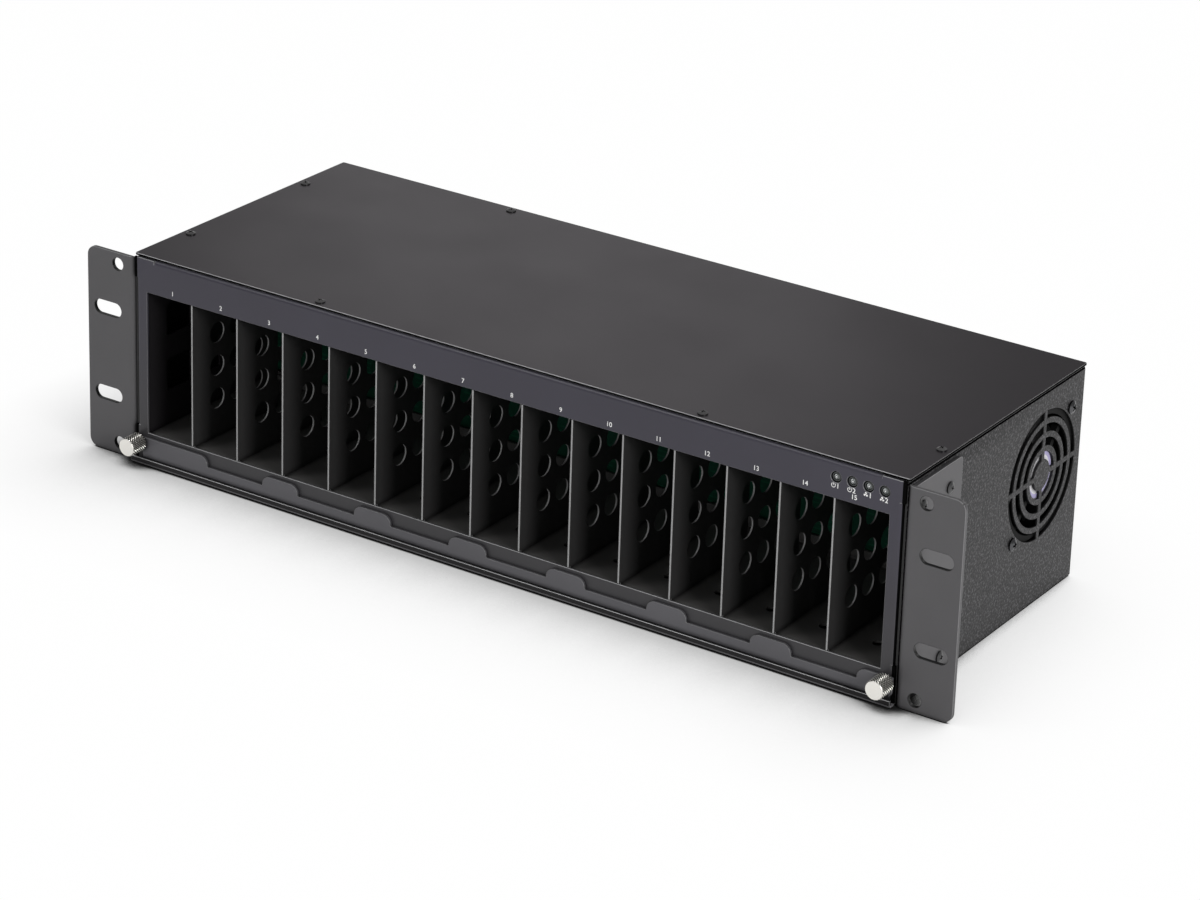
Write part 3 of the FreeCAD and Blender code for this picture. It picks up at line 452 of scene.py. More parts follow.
# Painted highlight: the cut faces, with the walls of the holes, get a light grey, and the front edges a
# lighter one that stands for both bare metal and the light they catch.
cut_edge = maths(tree, "LESS_THAN", facing_share(tree, "X"), EDGE_TURN)
recolour(divider_paint, cut_edge, HOLE_HIGHLIGHT_GREY)
worn = maths(tree, "LESS_THAN", object_axis(tree, "Y"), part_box("divider_01")[0].y + WORN_AND_LIT_DEPTH)
recolour(divider_paint, maths(tree, "MULTIPLY", cut_edge, worn), BARE_EDGE_HIGHLIGHT_GREY)
print("front edges worn to a depth in mm:", round(WORN_AND_LIT_DEPTH / MM, 1))

# %% Flecks on the walls, and painted shade on their inner faces
FLECK_SIZE = 1.1 * MM
FLECK_RANGE = (0.5, 0.7)
FLECK_GREY = (0.09, 0.088, 0.093)
WALL_TURN = 0.6
INSIDE_SHADE_BLACK = (0.004, 0.004, 0.004)
wall_paint = finishes["wall_paint"]
tree = wall_paint.node_tree
fleck = place_group(tree, coat_grain, Grain_Size=FLECK_SIZE, Pebbles=0.0)
recolour(wall_paint, spread(tree, fleck, *FLECK_RANGE, 0.0, 1.0), FLECK_GREY)
# Painted shade: faces that look into the case are made nearly black, as the shade behind the windows of the
# cages.
outward = maths(tree, "MULTIPLY", facing(tree, "X"), maths(tree, "SIGN", object_axis(tree, "X")))
recolour(wall_paint, maths(tree, "LESS_THAN", outward, WALL_TURN), INSIDE_SHADE_BLACK)
print("flecks in mm:", round(FLECK_SIZE / MM, 1))

# %% Dark slots of the rack ears, and painted shade at their foot
SLOT_ZONE = (216 * MM, 240 * MM)
SLOT_LEVELS = (2.5 * MM, 103.5 * MM)
SLOT_TURN = 0.9
EAR_FOOT_SHADE = (3 * MM, 6.5 * MM)
FLANGE_TURN = 0.7


def slot_zone(tree):
    """1 on the part of both ears that holds the slots and holes, inside their outer edges."""
    across = within(tree, maths(tree, "ABSOLUTE", object_axis(tree, "X")), *SLOT_ZONE)
    return maths(tree, "MULTIPLY", across, within(tree, object_axis(tree, "Z"), *SLOT_LEVELS))


ear_paint = finishes["ear_paint"]
tree = ear_paint.node_tree
cut_face = maths(tree, "LESS_THAN", facing_share(tree, "Y"), SLOT_TURN)
recolour(ear_paint, maths(tree, "MULTIPLY", slot_zone(tree), cut_face), CUT_AND_SHADE_BLACK)
# Painted shade: the lowest few millimetres of each ear's side flange turn black, as the contact shade near
# the floor.
foot_shade = spread(tree, object_axis(tree, "Z"), *EAR_FOOT_SHADE, 1.0, 0.0)
on_flange = maths(tree, "GREATER_THAN", facing_share(tree, "X"), FLANGE_TURN)
recolour(ear_paint, maths(tree, "MULTIPLY", foot_shade, on_flange), CUT_AND_SHADE_BLACK)
print("slot zone in mm:", [round(limit / MM) for limit in SLOT_ZONE])

# %% Panel and lip
TINT_LEVELS = (20 * MM, 85 * MM)
PANEL_LOW = (0.037, 0.0358, 0.0385)
LIP_LINE = (0.55 * MM, 1.5 * MM)
LIP_REFLECTION_GREY = (0.17, 0.166, 0.174)
tree = finishes["panel_paint"].node_tree
neutral = spread(tree, object_axis(tree, "Z"), *TINT_LEVELS, 1.0, 0.0)
recolour(finishes["panel_paint"], neutral, PANEL_LOW)

tree = finishes["tray_paint"].node_tree
# Painted reflection: a grey line on the bend of the lip stands for the white floor mirrored in it.
lip_bend_reflection = within(tree, object_axis(tree, "Z"), *LIP_LINE)
in_front = maths(tree, "LESS_THAN", object_axis(tree, "Y"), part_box("front_panel")[0].y)
recolour(finishes["tray_paint"], maths(tree, "MULTIPLY", lip_bend_reflection, in_front), LIP_REFLECTION_GREY)
print("lip line up to mm:", round(LIP_LINE[1] / MM, 2))

# %% Lenses of the lamps
LENS_RADIUS = 1.4 * MM
CUP_PITCH = 8.05 * MM
CUP_HIGHLIGHT = (0.75 * MM, 1.15 * MM)
CENTRE_HIGHLIGHT = 0.33 * MM
COLLAR_GREY = (0.023, 0.027, 0.026)
LEFT_HIGHLIGHT_GREY = (0.5, 0.52, 0.52)
CENTRE_HIGHLIGHT_GREY = (0.75, 0.75, 0.75)
lamp_lens = finishes["lamp_lens"]
tree = lamp_lens.node_tree
row_low, row_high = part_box("status_lamps")
lamp_radius = (row_high.z - row_low.z) / 2
sideways = maths(tree, "SUBTRACT", object_axis(tree, "X"), row_low.x + lamp_radius)
sideways = maths(tree, "WRAP", sideways, CUP_PITCH / 2, -CUP_PITCH / 2)
height = maths(tree, "SUBTRACT", object_axis(tree, "Z"), row_low.z + lamp_radius)
offset = maths(tree, "SQRT", radius_squared(tree, sideways, height))
recolour(lamp_lens, maths(tree, "GREATER_THAN", offset, LENS_RADIUS), COLLAR_GREY)
# Painted highlights: a pale arc on the left of each lens and a pale dot in its middle stand for the glints of
# the lamps.
on_left = maths(tree, "LESS_THAN", sideways, 0.0)
recolour(lamp_lens, maths(tree, "MULTIPLY", within(tree, offset, *CUP_HIGHLIGHT), on_left), LEFT_HIGHLIGHT_GREY)
recolour(lamp_lens, maths(tree, "LESS_THAN", offset, CENTRE_HIGHLIGHT), CENTRE_HIGHLIGHT_GREY)
print("lamp pitch in mm:", round(CUP_PITCH / MM, 2))

# %% Tracks of the board and barrels of the plugs
TRACK_PITCH = 2.54 * MM
TRACK_SHARE = 0.3
TRACK_GREEN = (0.004, 0.065, 0.034)
BREAK_SIZE = 9 * MM
BREAK_LEVEL = 0.45
PLUG_BASE = 3.5 * MM
BARREL_METAL = (0.6, 0.6, 0.58)
tree = finishes["board_laminate"].node_tree
steps = maths(tree, "DIVIDE", object_axis(tree, "Z"), TRACK_PITCH)
track = maths(tree, "LESS_THAN", maths(tree, "FRACT", steps), TRACK_SHARE)
broken = place_group(tree, hand_marks, Mark_Size=BREAK_SIZE)
track = maths(tree, "MULTIPLY", track, maths(tree, "GREATER_THAN", broken, BREAK_LEVEL))
recolour(finishes["board_laminate"], track, TRACK_GREEN)

plug_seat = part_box("bay_power_plugs")[1].y
tree = finishes["plug_metal"].node_tree
barrel = maths(tree, "LESS_THAN", object_axis(tree, "Y"), plug_seat - PLUG_BASE)
recolour(finishes["plug_metal"], barrel, BARREL_METAL)
tree.links.new(barrel, tree.nodes["Principled BSDF"].inputs["Metallic"])
print("track pitch in mm:", round(TRACK_PITCH / MM, 2))

# %% Turned nickel for the knobs
KNURL_DEPTH = 0.55 * MM
KNOB_CHAMFER = 0.5 * MM
RING_PITCH = 0.28 * MM
PIT_SHARES = (0.6, 0.3)
PIT_SHADE_BROWN = (0.03, 0.027, 0.022)
NICKEL_RECIPE = {"colour": (0.86, 0.84, 0.79), "roughness": 0.3, "grain": 0.3 * MM, "depth": 0.002 * MM,
                 "drift": 0.06, "metallic": 0.75}


def turned_nickel(name, centre, knob_radius, front):
    """Nickel with fine turning rings round the axis of one knob and painted shade in the pits of its knurl.
    """
    finish = coating(name, **NICKEL_RECIPE)
    tree = finish.node_tree
    place = object_place(tree)
    place = add(tree, "ShaderNodeVectorMath", {0: place, 1: centre}, operation="SUBTRACT").outputs[0]
    axis = axes_of(tree, place)
    radius = maths(tree, "SQRT", radius_squared(tree, axis["X"], axis["Z"]))
    rings = maths(tree, "SINE", maths(tree, "MULTIPLY", radius, 2 * math.pi / RING_PITCH))
    bump = tree.nodes["Bump"]
    grain = bump.inputs["Height"].links[0].from_socket
    tree.links.new(maths(tree, "ADD", grain, rings), bump.inputs["Height"])
    pit_limits = [knob_radius - share * KNURL_DEPTH for share in PIT_SHARES]
    # Painted shade: the hollows of the knurl turn dark brown.
    pit_shade = spread(tree, radius, *pit_limits, 1.0, 0.0)
    behind = maths(tree, "GREATER_THAN", object_axis(tree, "Y"), front + KNOB_CHAMFER)
    recolour(finish, maths(tree, "MULTIPLY", pit_shade, behind), PIT_SHADE_BROWN)
    return finish


knob_finish = {}
for side in ("left", "right"):
    low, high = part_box("thumbscrew_" + side)
    knob_finish[side] = turned_nickel("turned_nickel_" + side, (low + high) / 2, (high.x - low.x) / 2, low.y)
finishes["nickel"] = knob_finish["left"]
print("turned finishes:", len(knob_finish))

# %% Dress the solids
OWN_FINISH = {
    "fan_frame_left": "frame_black",
    "fan_frame_right": "frame_black",
    "bay_power_plugs": "plug_metal",
    "retaining_bar": "bar_paint_lit",
    "bay_floor": "bay_paint",
    "base_tray": "tray_paint",
    "rear_panel": "rear_paint_lit",
    "cover_screws": "cover_screw_paint",
    "fan_screws": "dark_zinc",
}
for node, solid in nodes.items():
    solid.data.materials.clear()
    solid.data.materials.append(finishes[OWN_FINISH.get(node, slot_of[node])])
print("nodes dressed:", len(nodes))

# %% [markdown]
# ## Eased edges
# Sheet metal is cut and then coated, so its edges are slightly round and catch a thin line of light. The
# solids have sharp edges. A frame node's own mesh may not be changed, so each sheet is copied, its loose
# triangles are welded, flat areas are made whole again, and a Bevel modifier rounds what is left of the
# edges. Weighted normals then keep the large faces flat in the light. Where short edges meet, a bevel can
# throw a corner far off, so any corner that has strayed is brought back to the nearest spot of the sheet.
# The copy stands for the node. The pale edge paints on the bevels are painted highlights. Between two sheets
# that almost touch, as under the cover and at the seams of the panel, the gap gets painted shade: a dark
# paint would still mirror the white floor there, so the faces in the gap are parted from the rest by a cut
# and get a black without gloss.

# %% Painted shade in the gaps
WELD = 0.001 * MM
SIDE_TURN = 0.5


def darken(mesh, heading, limit):
    """Cuts a mesh at limit along heading and paints shade, a glossless black, on what lies beyond: along Z,
    its upright faces only.
    """
    heading = Vector(heading)
    mesh.materials.append(finishes["gap_shade_black"])
    shape = bmesh.new()
    shape.from_mesh(mesh)
    everything = shape.verts[:] + shape.edges[:] + shape.faces[:]
    bmesh.ops.bisect_plane(shape, geom=everything, dist=WELD, plane_co=heading * limit, plane_no=heading)
    for face in shape.faces:
        is_side = face.material_index == 0 and abs(face.normal.z) < SIDE_TURN
        if (is_side or not heading.z) and face.calc_center_median().dot(heading) > limit:
            face.material_index = len(mesh.materials) - 1
    shape.to_mesh(mesh)
    shape.free()


print("weld distance in mm:", WELD / MM)

# %% One eased sheet
FLAT_ANGLE = math.radians(0.5)
BEVEL_ANGLE = math.radians(50)
BEVEL_STEPS = 2
STRAY_SHARE = 0.4


def settle(piece):
    """Turns a piece with modifiers into a plain mesh."""
    graph = bpy.context.evaluated_depsgraph_get()
    made = bpy.data.meshes.new_from_object(piece.evaluated_get(graph))
    piece.modifiers.clear()
    piece.data = made
    return piece


def eased(node, width, edge_finish=None, gaps=()):
    """Copy of a node with rounded edges, which stands for it; gaps are (heading, limit) pairs beyond which
    shade is painted.
    """
    shape = bmesh.new()
    shape.from_mesh(nodes[node].data)
    bmesh.ops.remove_doubles(shape, verts=shape.verts, dist=WELD)
    bmesh.ops.dissolve_limit(shape, angle_limit=FLAT_ANGLE, verts=shape.verts, edges=shape.edges)
    for face in shape.faces:
        face.smooth = True
    shell = BVHTree.FromBMesh(shape)
    mesh = bpy.data.meshes.new(node + "_eased")
    shape.to_mesh(mesh)
    shape.free()
    mesh.materials.append(nodes[node].data.materials[0])
    piece = new_object(node + "_eased", mesh)
    bevel = piece.modifiers.new("round_edges", "BEVEL")
    bevel.width = width
    bevel.segments = BEVEL_STEPS
    bevel.limit_method = "ANGLE"
    bevel.angle_limit = BEVEL_ANGLE
    bevel.use_clamp_overlap = False
    if edge_finish:
        mesh.materials.append(edge_finish)
        bevel.material = 1
    piece.modifiers.new("flat_faces", "WEIGHTED_NORMAL")
    settle(piece)
    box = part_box(node)
    for corner in piece.data.vertices:
        near, _, _, gap = shell.find_nearest(corner.co)
        if gap > width * STRAY_SHARE:
            corner.co = near
        corner.co = [sorted(values)[1] for values in zip(box[0], corner.co, box[1])]
    for heading, limit in gaps:
        darken(piece.data, heading, limit)
    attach(piece, nodes[node]["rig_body"])
    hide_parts(node)
    return piece


print("bevel steps:", BEVEL_STEPS)

# %% Painted highlights and shade on the edges
EDGE_BLUE = 1.02
DOWN_TURN = -0.2
SIDEWAYS_TURN = 0.25
SHADED_BRIGHT_SIDE = (0.06, 0.06, 0.061)
SHADED_PANEL_SIDE = (0.09, 0.09, 0.092)


def edge_highlight_paint(name, grey, side_colour=None):
    """Painted highlight on an edge, with painted shade: black where it looks down, in side_colour where it
    looks sideways.
    """
    finish = coating(name, (grey, grey, grey * EDGE_BLUE), roughness=0.35, depth=0.002 * MM)
    tree = finish.node_tree
    recolour(finish, maths(tree, "LESS_THAN", facing(tree, "Z"), DOWN_TURN), CUT_AND_SHADE_BLACK)
    if side_colour:
        is_sideways = maths(tree, "GREATER_THAN", facing_share(tree, "X"), SIDEWAYS_TURN)
        recolour(finish, is_sideways, side_colour)
    return finish


# Painted highlights: pale greys on the bevels stand for the thin line of light along the edges; the darker
# side colours and the black underneath are painted shade.
bright_edge_highlight = edge_highlight_paint("bright_edge_highlight", 0.4, SHADED_BRIGHT_SIDE)
panel_edge_highlight = edge_highlight_paint("panel_edge_highlight", 0.3, SHADED_PANEL_SIDE)
soft_edge_highlight = edge_highlight_paint("soft_edge_highlight", 0.13)
ear_edge_highlight = edge_highlight_paint("ear_edge_highlight", 0.18)
recolour(ear_edge_highlight, slot_zone(ear_edge_highlight.node_tree), CUT_AND_SHADE_BLACK)
print("edge finishes:", bright_edge_highlight.name, panel_edge_highlight.name, soft_edge_highlight.name, ear_edge_highlight.name)

# %% Round the sheets
SHEET_EASE = 0.22 * MM
FINE_EASE = 0.2 * MM
DIVIDER_EASE = 0.12 * MM
LID_GAP = 1.8 * MM
SEAM_WIDTH = 1.7 * MM
lid_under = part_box("front_panel")[1].z
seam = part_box("front_panel")[1].x - SEAM_WIDTH
# Painted shade: beyond these cuts the lid's sides, a band at the top of the walls and a strip at each side of
# the panel turn black, as the shade in the gap under the cover and in the seams beside the rack ears.
lid_gap = [((0, 0, 1), lid_under)]
wall_gap = [((0, 0, 1), lid_under - LID_GAP)]
panel_seams = [((1, 0, 0), seam), ((-1, 0, 0), seam)]
sheets = {
    "top_cover": (SHEET_EASE, bright_edge_highlight, lid_gap),
    "side_wall_left": (SHEET_EASE, None, wall_gap),
    "side_wall_right": (SHEET_EASE, None, wall_gap),
    "rack_ear_left": (SHEET_EASE, ear_edge_highlight),
    "rack_ear_right": (SHEET_EASE, ear_edge_highlight),
    "base_tray": (SHEET_EASE, bright_edge_highlight),
    "rear_panel": (SHEET_EASE,),
    "front_panel": (FINE_EASE, panel_edge_highlight, panel_seams),
    "retaining_bar": (FINE_EASE, soft_edge_highlight),
}
for node in sorted(nodes):
    if node.startswith("divider_"):
        sheets[node] = (DIVIDER_EASE,)
faces = sum(len(eased(node, *values).data.polygons) for node, values in sheets.items())
print("eased sheets:", len(sheets), "faces:", faces)

# %% [markdown]
# ## Screws with a cross recess
# The case is held by dome-headed screws, and the eye looks for the cross in each head. The same head
# returns many times, so a Geometry Nodes tree makes one from its sizes and sets it on points. A cylinder
# with rings in its caps is pushed into a dome, two tapered bars cut the cross, and a shank is joined on.
# Each point carries a rotation, so no two crosses stand alike. The points come from the frame's own screws.


# %% Helpers for geometry trees
def new_tree(name, inputs):
    """Geometry tree with named sizes and a material for inputs."""
    tree = bpy.data.node_groups.new(name, "GeometryNodeTree")
    tree.interface.new_socket("Geometry", in_out="INPUT", socket_type="NodeSocketGeometry")
    for label, value in inputs.items():
        kind = "NodeSocketInt" if isinstance(value, int) else "NodeSocketFloat"
        socket = tree.interface.new_socket(label, in_out="INPUT", socket_type=kind)
        socket.default_value = value
    tree.interface.new_socket("Material", in_out="INPUT", socket_type="NodeSocketMaterial")
    tree.interface.new_socket("Geometry", in_out="OUTPUT", socket_type="NodeSocketGeometry")
    return tree, add(tree, "NodeGroupInput").outputs


def join(tree, *shapes):
    made = add(tree, "GeometryNodeJoinGeometry")
    for shape in shapes:
        tree.links.new(shape, made.inputs[0])
    return made.outputs[0]


def close_tree(tree, shape, material):
    """Ends a tree with real geometry in the material of its input."""
    shape = add(tree, "GeometryNodeRealizeInstances", {"Geometry": shape}).outputs[0]
    shape = add(tree, "GeometryNodeSetMaterial", {"Geometry": shape, "Material": material}).outputs[0]
    add(tree, "NodeGroupOutput", {"Geometry": shape})
    print(tree.name, "nodes:", len(tree.nodes))


print("tree helpers ready")

# %% A domed head
HEAD_SIDES = 28
HEAD_RINGS = 4
screw_tree, size = new_tree("domed_screws", {
    "Head Diameter": 5.4 * MM, "Head Height": 1.5 * MM, "Rim Height": 0.6 * MM, "Shank Diameter": 3.0 * MM,
    "Shank Length": 6.0 * MM, "Cross Length": 3.0 * MM, "Cross Width": 0.75 * MM, "Cross Depth": 1.0 * MM,
})
# Short names for three node helpers that work in this tree.
make, reckon, vector = (partial(helper, screw_tree) for helper in (add, maths, combine))
head_radius = reckon("DIVIDE", size["Head Diameter"], 2.0)
# Only the sign of a corner's height is read below, so any depth of this cylinder does.
head = make("GeometryNodeMeshCylinder", {
    "Vertices": HEAD_SIDES, "Side Segments": 1, "Fill Segments": HEAD_RINGS, "Radius": head_radius,
    "Depth": 2.0})
spot = axes_of(screw_tree, make("GeometryNodeInputPosition").outputs[0])
across = radius_squared(screw_tree, spot["X"], spot["Y"])
share = reckon("DIVIDE", across, reckon("MULTIPLY", head_radius, head_radius))
fall = reckon("MULTIPLY", share, reckon("SUBTRACT", size["Head Height"], size["Rim Height"]))
dome = reckon("SUBTRACT", size["Head Height"], fall)
is_top = reckon("GREATER_THAN", spot["Z"], 0.0)
crown = vector(spot["X"], spot["Y"], reckon("MULTIPLY", dome, is_top))
head = make("GeometryNodeSetPosition", {"Geometry": head.outputs["Mesh"], "Position": crown}).outputs[0]
print("head sides:", HEAD_SIDES)

# %% The cross, the shank and the points
TAPER = 0.35
SHANK_SIDES = 16
cross_size = vector(size["Cross Length"], size["Cross Width"], reckon("MULTIPLY", size["Cross Depth"], 2.0))
bar = make("GeometryNodeMeshCube", {"Size": cross_size}).outputs["Mesh"]
is_low = reckon("LESS_THAN", spot["Z"], 0.0)
narrow = reckon("SUBTRACT", 1.0, reckon("MULTIPLY", is_low, TAPER))
tapered = vector(reckon("MULTIPLY", spot["X"], narrow), reckon("MULTIPLY", spot["Y"], narrow),
                 reckon("ADD", spot["Z"], size["Head Height"]))
bar = make("GeometryNodeSetPosition", {"Geometry": bar, "Position": tapered}).outputs[0]
crosswise = make("GeometryNodeTransform", {"Geometry": bar, "Rotation": (0, 0, math.pi / 2)}).outputs[0]
cut = make("GeometryNodeMeshBoolean", {0: head}, operation="DIFFERENCE", solver="EXACT")
screw_tree.links.new(bar, cut.inputs[1])
screw_tree.links.new(crosswise, cut.inputs[1])
shank = make("GeometryNodeMeshCylinder", {
    "Vertices": SHANK_SIDES, "Radius": reckon("DIVIDE", size["Shank Diameter"], 2.0),
    "Depth": size["Shank Length"]}).outputs["Mesh"]
sunk = vector(0.0, 0.0, reckon("DIVIDE", size["Shank Length"], -2.0))
shank = make("GeometryNodeTransform", {"Geometry": shank, "Translation": sunk}).outputs[0]
stand = make("GeometryNodeInputNamedAttribute", {"Name": "stand"}, data_type="QUATERNION").outputs[0]
screw = join(screw_tree, cut.outputs[0], shank)
many = make("GeometryNodeInstanceOnPoints", {
    "Points": size["Geometry"], "Instance": screw, "Rotation": stand}).outputs[0]
close_tree(screw_tree, many, size["Material"])


# %% Find the solids and run a tree
CREASE = math.radians(32)


def solid_boxes(node):
    """Lowest and highest corner of each separate solid in a node."""
    shape = bmesh.new()
    shape.from_mesh(nodes[node].data)
    bmesh.ops.remove_doubles(shape, verts=shape.verts, dist=WELD)
    waiting = set(shape.verts)
    boxes = []
    while waiting:
        reached = [waiting.pop()]
        found = []
        while reached:
            corner = reached.pop()
            found.append(corner.co.copy())
            for link in corner.link_edges:
                other = link.other_vert(corner)
                if other in waiting:
                    waiting.remove(other)
                    reached.append(other)
        boxes.append([Vector(map(limit, *found)) for limit in (min, max)])
    shape.free()
    return sorted(boxes, key=lambda pair: tuple(pair[0]))


def run_tree(piece, tree, values, material):
    """Evaluates a tree on a piece, with its inputs set by name, and leaves a plain mesh."""
    modifier = piece.modifiers.new(tree.name, "NODES")
    modifier.node_group = tree
    for item in tree.interface.items_tree:
        if item.in_out == "INPUT" and item.name in values:
            modifier[item.identifier] = values[item.name]
        if item.in_out == "INPUT" and item.name == "Material":
            modifier[item.identifier] = material
    settle(piece)
    piece.data.shade_smooth()
    piece.data.set_sharp_from_angle(angle=CREASE)
    return piece


print("cover screws found:", len(solid_boxes("cover_screws")))

# %% Set the screws
GOLDEN_TURN = math.radians(137.5)


def set_screws(node, heading, sizes):
    """Screws with a cross recess in place of a node's plain ones."""
    places, stands = [], []
    for index, (low, high) in enumerate(solid_boxes(node)):
        middle = (low + high) / 2
        outward = Vector(heading(middle))
        reach = max(outward.dot(low), outward.dot(high)) - sizes["Head Height"]
        places.append(middle + outward * (reach - outward.dot(middle)))
        turn = Quaternion((0, 0, 1), index * GOLDEN_TURN)
        stands.append(outward.to_track_quat("Z", "Y") @ turn)
    mesh = bpy.data.meshes.new(node + "_points")
    mesh.from_pydata([tuple(place) for place in places], [], [])
    attribute = mesh.attributes.new("stand", "QUATERNION", "POINT")
    for entry, turn in zip(attribute.data, stands):
        entry.value = turn
    piece = new_object(node + "_crossed", mesh)
    run_tree(piece, screw_tree, sizes, nodes[node].data.materials[0])
    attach(piece, "chassis")
    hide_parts(node)
    print(node, "screws:", len(places))


small_screw = {"Head Height": 1.5 * MM}
cover_screw = {
    "Head Diameter": 4.8 * MM, "Head Height": 1.3 * MM, "Rim Height": 0.52 * MM, "Cross Length": 2.9 * MM,
    "Cross Width": 0.8 * MM,
}
fan_screw = {
    "Head Diameter": 6.4 * MM, "Head Height": 1.9 * MM, "Rim Height": 0.76 * MM, "Shank Diameter": 4.0 * MM,
    "Shank Length": 9.0 * MM, "Cross Length": 4.3 * MM, "Cross Width": 1.2 * MM, "Cross Depth": 1.3 * MM,
}
set_screws("cover_screws", lambda spot: (0, 0, 1), cover_screw)
set_screws("ear_screws", lambda spot: (math.copysign(1, spot.x), 0, 0), small_screw)
set_screws("inlet_screws", lambda spot: (0, 1, 0), small_screw)
set_screws("backplane_screws", lambda spot: (0, 1, 0), small_screw)
set_screws("fan_screws", lambda spot: (math.copysign(1, spot.x), 0, 0), fan_screw)

# %% [markdown]
# ## Knurled thumbscrews
# The bar under the bays is held by two nickel thumbscrews with a diamond knurl. Bump alone would leave a
# smooth outline, so the knurl is geometry: a grid is rolled into a tube, and its radius follows two sets of
# slanting ridges that cross. A chamfer pulls both ends in, round caps close the tube, and a shank is added.

# %% Roll the knurl
KNOB_LENGTH = 9.6 * MM
STEPS_PER_RIDGE = 4
knob_tree, size = new_tree("knurled_knob", {
    "Diameter": 9.5 * MM, "Length": KNOB_LENGTH, "Chamfer": KNOB_CHAMFER, "Knurl Depth": KNURL_DEPTH,
    "Ridges": 21, "Rows": 7, "Shank Diameter": 3.0 * MM, "Shank Length": 7.3 * MM,
    "Axis X": 0.0, "Axis Z": 0.0, "Front Y": 0.0,
})
make, reckon, vector = (partial(helper, knob_tree) for helper in (add, maths, combine))
count_round = reckon("MULTIPLY", size["Ridges"], STEPS_PER_RIDGE)
count_along = reckon("MULTIPLY", size["Rows"], 2 * STEPS_PER_RIDGE)
sheet = make("GeometryNodeMeshGrid", {
    "Size X": 1.0, "Size Y": 1.0, "Vertices X": reckon("ADD", count_round, 1.0),
    "Vertices Y": reckon("ADD", count_along, 1.0)}).outputs["Mesh"]
spot = axes_of(knob_tree, make("GeometryNodeInputPosition").outputs[0])
around = reckon("ADD", spot["X"], 0.5)
along = reckon("ADD", spot["Y"], 0.5)
turns = reckon("MULTIPLY", around, size["Ridges"])
lean = reckon("MULTIPLY", along, size["Rows"])
ridge_one = reckon("PINGPONG", reckon("ADD", turns, lean), 0.5)
ridge_two = reckon("PINGPONG", reckon("SUBTRACT", turns, lean), 0.5)
peak = reckon("MULTIPLY", reckon("MINIMUM", ridge_one, ridge_two), 2.0)
hollow = reckon("MULTIPLY", reckon("SUBTRACT", 1.0, peak), size["Knurl Depth"])
knob_radius = reckon("DIVIDE", size["Diameter"], 2.0)
end_radius = reckon("SUBTRACT", knob_radius, size["Chamfer"])
from_end = reckon("MINIMUM", along, reckon("SUBTRACT", 1.0, along))
slope = reckon("ADD", end_radius, reckon("MULTIPLY", from_end, size["Length"]))
radius = reckon("MINIMUM", reckon("SUBTRACT", knob_radius, hollow), slope)
angle = reckon("MULTIPLY", around, 2 * math.pi)
rolled = vector(reckon("MULTIPLY", radius, reckon("COSINE", angle)),
                reckon("MULTIPLY", along, size["Length"]),
                reckon("MULTIPLY", radius, reckon("SINE", angle)))
tube = make("GeometryNodeSetPosition", {"Geometry": sheet, "Position": rolled}).outputs[0]
print("steps to a ridge:", STEPS_PER_RIDGE)

# %% Close the knob
KNOB_SHANK_SIDES = 24
QUARTER_TURN = (math.pi / 2, 0, 0)
disc = {"Vertices": count_round, "Radius": end_radius}
cap = make("GeometryNodeMeshCircle", disc, fill_type="NGON").outputs[0]
front = make("GeometryNodeTransform", {"Geometry": cap, "Rotation": QUARTER_TURN}).outputs[0]
rear = make("GeometryNodeTransform", {
    "Geometry": cap, "Rotation": QUARTER_TURN, "Translation": vector(0.0, size["Length"], 0.0)}).outputs[0]
knob = join(knob_tree, tube, front, rear)
knob = make("GeometryNodeMergeByDistance", {"Geometry": knob, "Distance": WELD}).outputs[0]
shank = make("GeometryNodeMeshCylinder", {
    "Vertices": KNOB_SHANK_SIDES, "Radius": reckon("DIVIDE", size["Shank Diameter"], 2.0),
    "Depth": size["Shank Length"]}).outputs["Mesh"]
middle = reckon("ADD", size["Length"], reckon("DIVIDE", size["Shank Length"], 2.0))
shank = make("GeometryNodeTransform", {
    "Geometry": shank, "Rotation": QUARTER_TURN, "Translation": vector(0.0, middle, 0.0)}).outputs[0]
seat = vector(size["Axis X"], size["Front Y"], size["Axis Z"])
screw = join(knob_tree, knob, shank)
screw = make("GeometryNodeTransform", {"Geometry": screw, "Translation": seat}).outputs[0]
close_tree(knob_tree, screw, size["Material"])


# %% Turn the two knobs
def point_outward(mesh):
    shape = bmesh.new()
    shape.from_mesh(mesh)
    bmesh.ops.recalc_face_normals(shape, faces=shape.faces)
    shape.to_mesh(mesh)
    shape.free()


for side in ("left", "right"):
    node = "thumbscrew_" + side
    low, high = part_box(node)
    knob = new_object(node + "_knurled", bpy.data.meshes.new(node + "_knurled"))
    run_tree(knob, knob_tree, {
        "Diameter": high.x - low.x, "Length": KNOB_LENGTH, "Shank Length": high.y - low.y - KNOB_LENGTH,
        "Axis X": (low.x + high.x) / 2, "Axis Z": (low.z + high.z) / 2, "Front Y": low.y,
    }, knob_finish[side])
    point_outward(knob.data)
    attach(knob, node)
    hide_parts(node)
    print(node, "faces:", len(knob.data.polygons))

# %% [markdown]
# ## Print on the panel
# White numerals above the bays count them, and small signs mark the lamps: a power sign and a fan sign,
# each with a 1 or a 2. Screen print is a thin skin of ink. Text and flat outlines are turned into meshes, set
# upright on the panel's face and gathered in one piece.

# %% Ink helpers
INK = 0.03 * MM
NUMERAL_WEIGHT = 0.014
panel_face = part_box("front_panel")[0].y
ink = bmesh.new()


def lay_ink(flat, x, z):
    """Stands a flat mesh on the panel's face, centred at x and z."""
    upright_turn = Matrix.Rotation(math.pi / 2, 4, "X")
    flat.transform(Matrix.Translation((x, panel_face - INK / 2, z)) @ upright_turn)
    ink.from_mesh(flat)


